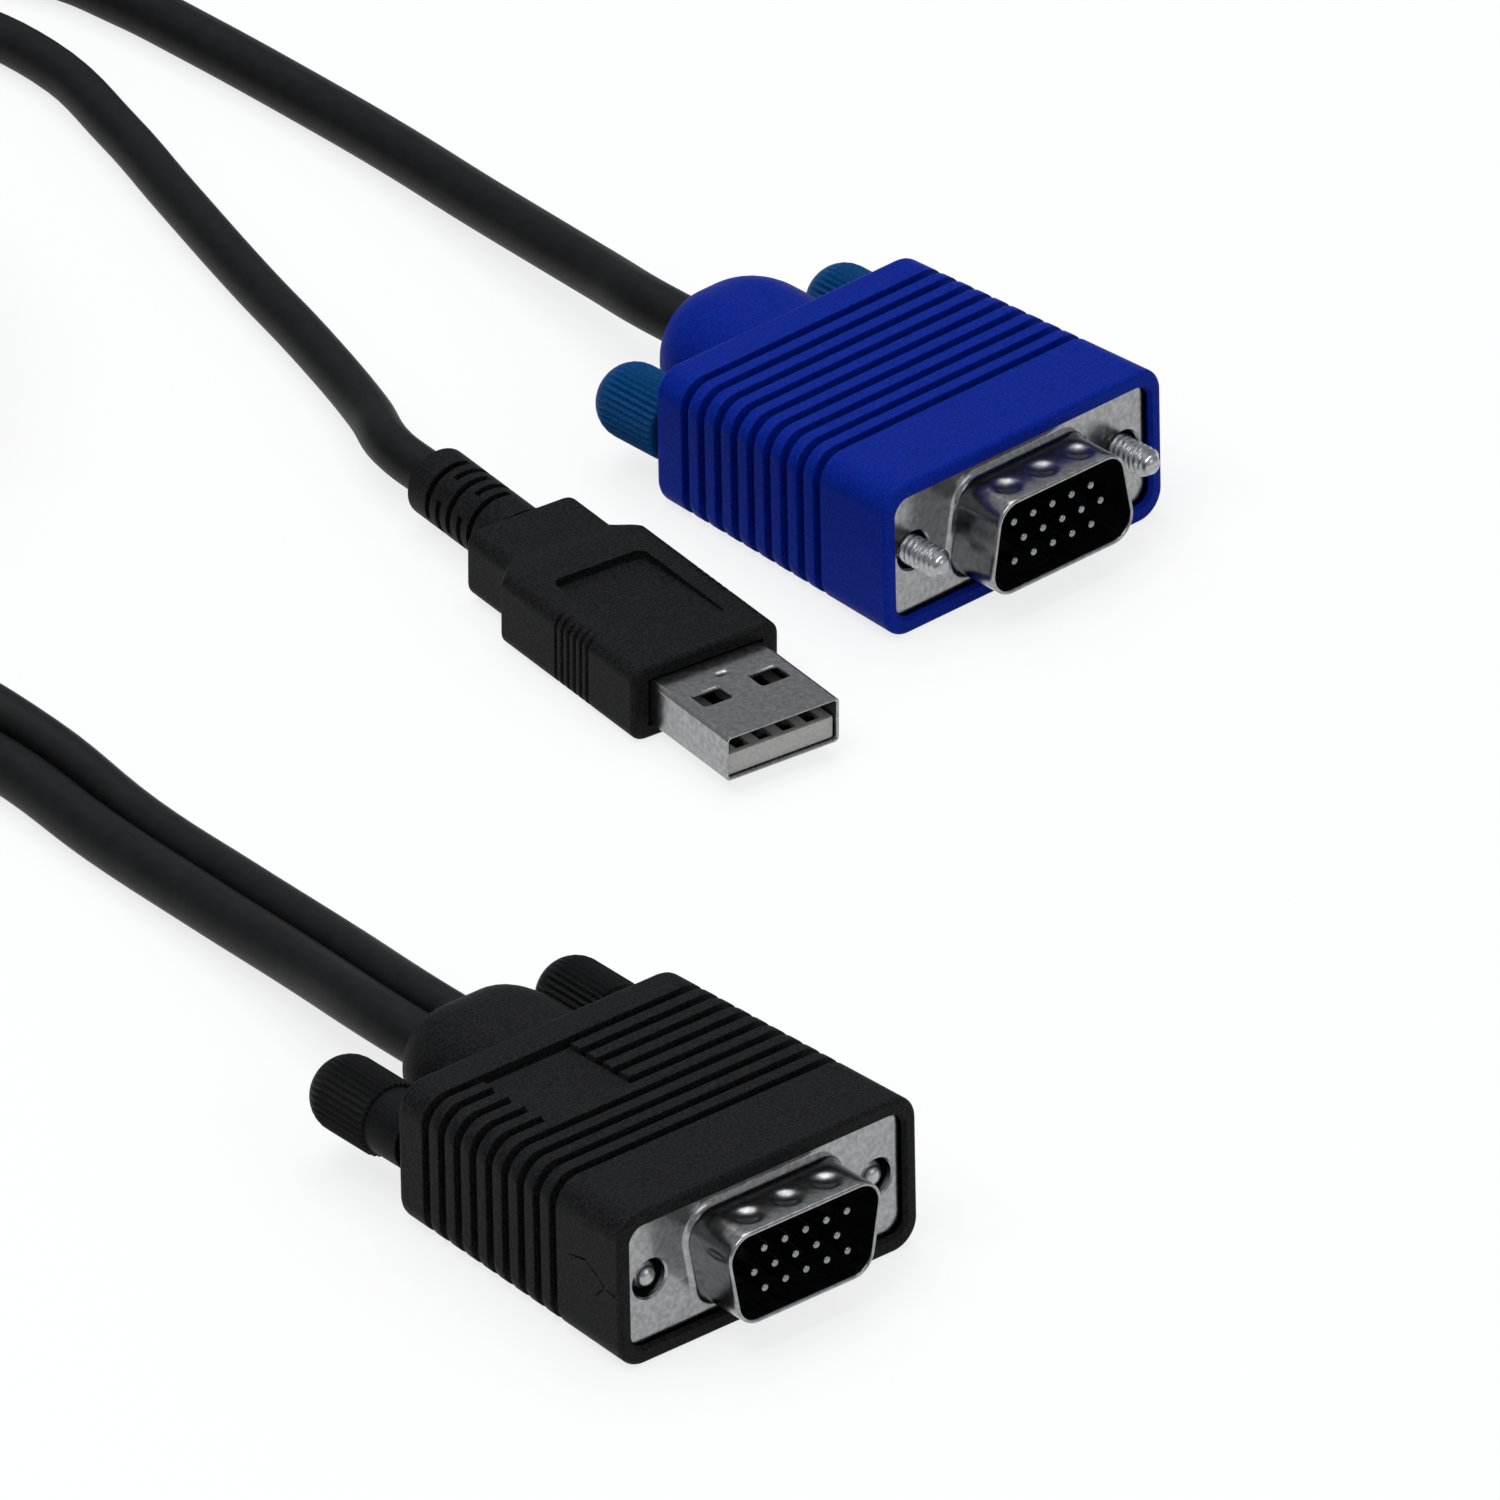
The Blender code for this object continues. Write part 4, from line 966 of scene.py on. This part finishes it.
def make_usb_shell():
    """The rolled steel shell with four latch windows and a pressed mark on each broad side."""
    middle = (0.0, USB_HEIGHT / 2)
    wall = USB_SHELL_WALL
    lip = wall / 3
    plan = [(0.0, -USB_SHELL_ROOT), (0.0, USB_SHELL_REACH - lip), (lip, USB_SHELL_REACH)]
    plan += [(wall - lip, USB_SHELL_REACH), (wall, USB_SHELL_REACH - lip), (wall, -USB_SHELL_ROOT)]
    rings = []
    for inset, ahead in plan:
        size = [side - 2 * inset for side in USB_SHELL_SIZE]
        outline = rounded_outline(size, USB_SHELL_CORNER - inset * CORNER_SHRINK, centre=middle)
        rings.append(section(outline, -ahead))
    shell = make_piece("usb_shell", [rings], hollow=True)
    window_lip = [side + 2 * SMALL_ROUND for side in USB_WINDOW_SIZE]
    windows = []
    for side in (-1, 1):
        centre = (side * USB_WINDOW_OFFSET, -USB_SHELL_REACH + USB_WINDOW_BACK)
        hole = rounded_outline(USB_WINDOW_SIZE, USB_WINDOW_CORNER, FEW_STEPS, centre=centre)
        flare = rounded_outline(window_lip, USB_LIP_CORNER, FEW_STEPS, centre=centre)
        levels = ((hole, -2 * wall), (hole, -wall / 2), (flare, 0.0), (flare, 2 * wall))
        for way in (-1, 1):
            up = middle[1] + way * USB_SHELL_SIZE[1] / 2
            windows.append([layer(ring, up + way * rise) for ring, rise in levels])
    cut(shell, windows)
    for way in (-1, 1):
        cut(shell, [dimple_rings(middle[1] + way * USB_SHELL_SIZE[1] / 2, way)])
    return shell


def dimple_rings(wall_place, way):
    """An oval pressed mark with sloping sides; way is 1 for the top wall and -1 for the bottom."""
    centre = (0.0, -USB_SHELL_REACH + USB_DIMPLE_BACK)
    rings = []
    for share, rise in ((0.5, -0.8), (1.0, 0.0), (1.0, 0.5)):
        size = [side * share for side in USB_DIMPLE_SIZE]
        outline = rounded_outline(size, size[1] / 2 * NEARLY_ROUND, 2 * FEW_STEPS, centre=centre)
        rings.append(layer(outline, wall_place + way * rise * USB_SHELL_WALL))
    return rings


def make_tongue():
    """The tongue in the USB shell, with a slot on its top for each contact."""
    width = USB_SHELL_SIZE[0] - 2 * (USB_SHELL_WALL + USB_GAP)
    gap = SMALL_ROUND / 4
    floor = (USB_HEIGHT - USB_SHELL_SIZE[1]) / 2 + USB_SHELL_WALL + gap
    top = floor + TONGUE_THICKNESS + RIM_GAP - gap
    front = -USB_SHELL_REACH + TONGUE_SETBACK
    middle = (0.0, (top + floor) / 2)
    size = (width, top - floor)
    outline = rounded_outline(size, TONGUE_EDGE, FEW_STEPS, centre=middle)
    small_size = [side - TONGUE_EDGE for side in size]
    small = rounded_outline(small_size, TONGUE_EDGE, FEW_STEPS, centre=middle)
    rings = [section(small, front), section(outline, front + SMALL_ROUND)]
    rings.append(section(outline, USB_SHELL_ROOT))
    tongue = make_piece("usb_tongue", [rings])
    half = CONTACT_WIDTH / 2 + CONTACT_ROOM
    start = front + TONGUE_SETBACK
    slots = []
    for across in contact_places():
        low = (across - half, start, top - CONTACT_SLOT)
        slots.append(block_shape(low, (across + half, start + CONTACT_SLOT_LENGTH, top + CUT_PAST)))
    cut(tongue, slots)
    return tongue


def contact_places():
    """Across places of the four contacts."""
    return [(index - (CONTACT_COUNT - 1) / 2) * CONTACT_PITCH for index in range(CONTACT_COUNT)]


def make_contact(across):
    """One flat contact that dips at its front end into the tongue."""
    floor = (USB_HEIGHT - USB_SHELL_SIZE[1]) / 2 + USB_SHELL_WALL + RIM_GAP
    level = floor + TONGUE_THICKNESS - CONTACT_SINK
    start = -USB_SHELL_REACH + 2 * TONGUE_SETBACK + RIM_GAP
    run, drop = CONTACT_DIP
    path = [(start, level - drop), (start + run, level), (start + CONTACT_LENGTH, level)]
    outline = path + [(back, up - CONTACT_THICKNESS) for back, up in reversed(path)]
    half = CONTACT_WIDTH / 2
    rings = [[Vector((across + half * way, *spot)) for spot in outline] for way in (-1, 1)]
    return make_piece("usb_contact", [rings])


def usb_frame():
    """Matrix that lays the USB plug flat on the floor."""
    return Matrix.Translation((*USB_PLACE, 0.0)) @ Matrix.Rotation(USB_HEADING, 4, "Z")


def make_usb_plug(finishes):
    """The whole flat plug."""
    matrix = usb_frame()
    dress(make_usb_body(), matrix, finishes, "black_pvc", "cable", "usb_body")
    dress(make_usb_shell(), matrix, finishes, "nickel_plated_steel", "cable", "usb_shell")
    dress(make_tongue(), matrix, finishes, "white_tongue", "cable", "usb_tongue")
    for index, across in enumerate(contact_places()):
        name = f"usb_contact_{index + 1}"
        dress(make_contact(across), matrix, finishes, "nickel_plated_brass", "cable", name)


def curve_point(before, start, end, after, share):
    """Point of a Catmull-Rom curve between start and end."""
    linear = (end - before) * share
    square = (2 * before - 5 * start + 4 * end - after) * share ** 2
    cube = (3 * start - before - 3 * end + after) * share ** 3
    return start + (linear + square + cube) / 2


def smooth_path(points):
    """Points about a cord step apart along a smooth curve through the given ones."""
    points = [Vector(point) for point in points]
    padded = [2 * points[0] - points[1], *points, 2 * points[-1] - points[-2]]
    path = []
    for index in range(1, len(padded) - 2):
        span = (padded[index + 1] - padded[index]).length
        count = max(1, round(span / CORD_STEP))
        for step in range(count):
            path.append(curve_point(*padded[index - 1:index + 3], step / count))
    return path + [points[-1]]


def twin_partner(path):
    """The thin cord's path: on the right of the thick cord, then turned up to lie on top of it."""
    partner = []
    for index, point in enumerate(path):
        heading = path[min(index + 1, len(path) - 1)] - path[max(index - 1, 0)]
        right = Vector((heading.y, -heading.x, 0.0)).normalized()
        share = index / (len(path) - 1)
        turn = QUARTER * max(0.0, share - TWIST_START) / (1 - TWIST_START)
        up = right.cross(heading).normalized()
        distance = THICK_RADIUS + THIN_RADIUS + CORD_GAP * (1 - share)
        partner.append(point + (right * math.cos(turn) + up * math.sin(turn)) * distance)
    return partner


def coil_tangent(angle, height, radius, way):
    """Two places in line with the coil's outer strand, the second where a cord's end meets the
    coil. The coil winds clockwise; way is 1 where the cord leaves it and -1 where it arrives."""
    strand = COIL_RADIUS + COIL_WIDTH / 2 - radius
    outer = COIL_RADIUS + COIL_WIDTH / 2 + CORD_GAP
    run = math.sqrt(outer ** 2 - (strand - radius) ** 2)
    spoke = Vector((math.cos(angle), math.sin(angle), 0.0))
    heading = Vector((spoke.y, -spoke.x, 0.0)) * way
    touch = Vector((*COIL_CENTRE, height)) + spoke * strand
    return [touch + heading * (run + CORD_STRAIGHT), touch + heading * run]


def coil_path(out_angle, height, radius):
    """One strand of the coil: inward on the floor, up at the middle and outward on top."""
    turns = COIL_TURNS + (TWIN_IN_ANGLE - out_angle) / FULL_TURN
    level = (COIL_TURNS + (TWIN_IN_ANGLE - THICK_OUT_ANGLE) / FULL_TURN - COIL_RISE) / 2
    outer = COIL_RADIUS + COIL_WIDTH / 2 - radius
    inner = outer - level * COIL_PITCH
    count = math.ceil(turns * COIL_POINTS)
    path = []
    for index in range(count + 1):
        done = turns * index / count
        share = min(1.0, max(0.0, (done - level) / COIL_RISE))
        away = outer - COIL_PITCH * done
        if done > level:
            away = inner - COIL_DIP * math.sin(math.pi * share)
        if done > level + COIL_RISE:
            away = min(outer, inner + COIL_PITCH * (done - level - COIL_RISE))
        up = height + COIL_HEIGHT / 2 * ease(share)
        angle = TWIN_IN_ANGLE - FULL_TURN * done
        spoke = Vector((math.cos(angle), math.sin(angle), 0.0))
        path.append(Vector((*COIL_CENTRE, up)) + spoke * away)
    return path


def make_cord(name, path, radius, finishes):
    """One cord as a single smooth curve through its points."""
    curve = bpy.data.curves.new(name, "CURVE")
    curve.dimensions = "3D"
    curve.bevel_depth = radius
    curve.bevel_resolution = CORD_SMOOTHNESS
    curve.resolution_u = CORD_SMOOTHNESS
    curve.use_fill_caps = True
    spline = curve.splines.new("BEZIER")
    spline.bezier_points.add(len(path) - 1)
    for spot, point in zip(spline.bezier_points, path):
        spot.co = point
        spot.handle_left_type = "AUTO"
        spot.handle_right_type = "AUTO"
    cord = new_object(name, curve)
    curve.materials.append(finishes["cord_pvc"])
    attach(cord, "cable")
    return cord


def cord_start(plug, across, length):
    """Where a cord leaves a plug, and a place a little further along the plug's axis."""
    return [plug @ Vector((across, length + ahead, 0.0)) for ahead in (CORD_GAP, CORD_STRAIGHT)]


def make_tie(finishes):
    """A flat tie closed round the coil, with soft edges."""
    centre = (COIL_RADIUS, COIL_FLOOR + COIL_HEIGHT / 2)
    inner_size = (COIL_WIDTH + 2 * CORD_GAP, COIL_HEIGHT + 2 * CORD_GAP)
    half = TIE_WIDTH / 2
    thick = TIE_THICKNESS
    flat = thick - SOFT_ROUND
    edge = half - SOFT_ROUND
    plan = [(0.0, -half), (0.0, half), (flat, half), (thick, edge), (thick, -edge), (flat, -half)]
    rings = []
    for grow, across in plan:
        size = [side + 2 * grow for side in inner_size]
        outline = rounded_outline(size, COIL_CORNER + CORD_GAP + grow, centre=centre)
        rings.append(section(outline, across))
    tie = make_piece("coil_tie", [rings], hollow=True)
    place = Matrix.Translation((*COIL_CENTRE, 0.0)) @ Matrix.Rotation(TIE_ANGLE, 4, "Z")
    return dress(tie, place, finishes, "black_tie", "cable", "coil_tie")


def leg_path(plug, length, route, angle, height, radius):
    """A cord's path from the coil to its own plug; its end goes a little way in."""
    points = cord_start(plug, 0.0, length) + list(route) + coil_tangent(angle, height, radius, 1)
    return smooth_path(points)[::-1] + [plug @ Vector((0.0, length - CORD_OVERLAP, 0.0))]


def make_cords(finishes):
    """Both cords, each from the black plug through the coil to its own plug, and the coil's tie."""
    black = plug_frame(BLACK_PLACE, BLACK_HEADING, 0.0)
    across = THICK_RADIUS - (2 * THICK_RADIUS + 2 * THIN_RADIUS + CORD_GAP) / 2
    thick_height = COIL_FLOOR + THICK_RADIUS
    route = cord_start(black, across, BOSS_LENGTH) + list(TWIN_ROUTE)
    twin = smooth_path(route + coil_tangent(TWIN_IN_ANGLE, thick_height, THICK_RADIUS, -1))
    inside = black @ Vector((across, BOSS_LENGTH - CORD_OVERLAP, 0.0))

    blue = plug_frame(BLUE_PLACE, BLUE_HEADING, math.pi)
    top = thick_height + COIL_HEIGHT / 2
    coil = coil_path(THICK_OUT_ANGLE, thick_height, THICK_RADIUS)
    leg = leg_path(blue, BOSS_LENGTH, THICK_ROUTE, THICK_OUT_ANGLE, top, THICK_RADIUS)
    thick = make_cord("thick_cord", [inside] + twin + coil + leg, THICK_RADIUS, finishes)
    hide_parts("twin_thick_cord", "cord_coil", "thick_leg")
    tie = make_tie(finishes)

    partner = twin_partner([inside] + twin)
    relief = usb_frame() @ Matrix.Translation((0.0, 0.0, USB_HEIGHT / 2))
    top = COIL_FLOOR + COIL_HEIGHT - THIN_RADIUS
    coil = coil_path(THIN_OUT_ANGLE, thick_height + THICK_RADIUS + THIN_RADIUS, THIN_RADIUS)
    relief_length = USB_LENGTH + RELIEF_LENGTH
    leg = leg_path(relief, relief_length, THIN_ROUTE, THIN_OUT_ANGLE, top, THIN_RADIUS)
    thin = make_cord("thin_cord", partner + coil + leg, THIN_RADIUS, finishes)
    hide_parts("twin_thin_cord", "thin_leg")


def make_floor():
    """A wide white board under everything."""
    far = BOARD_REACH
    corners = [(-far, -far, 0.0), (far, -far, 0.0), (far, far, 0.0), (-far, far, 0.0)]
    data = bpy.data.meshes.new("floor")
    data.from_pydata(corners, [], [(0, 1, 2, 3)])
    data.materials.append(studio_floor())
    new_object("floor", data)


def main():
    """Dress the whole cable and light it."""
    set_camera()
    finishes = make_materials()
    make_cords(finishes)
    set_lights()
    make_floor()
    collar = 2 * (THICK_RADIUS + BOSS_COLLAR)
    black = plug_frame(BLACK_PLACE, BLACK_HEADING, 0.0)
    make_plug("black", black, finishes, (collar + 2 * THIN_RADIUS + CORD_GAP, collar), SCREW_TRAVEL)
    blue = plug_frame(BLUE_PLACE, BLUE_HEADING, math.pi)
    make_plug("blue", blue, finishes, (collar, collar), 0.0)
    make_usb_plug(finishes)
    bpy.context.view_layer.update()


main()
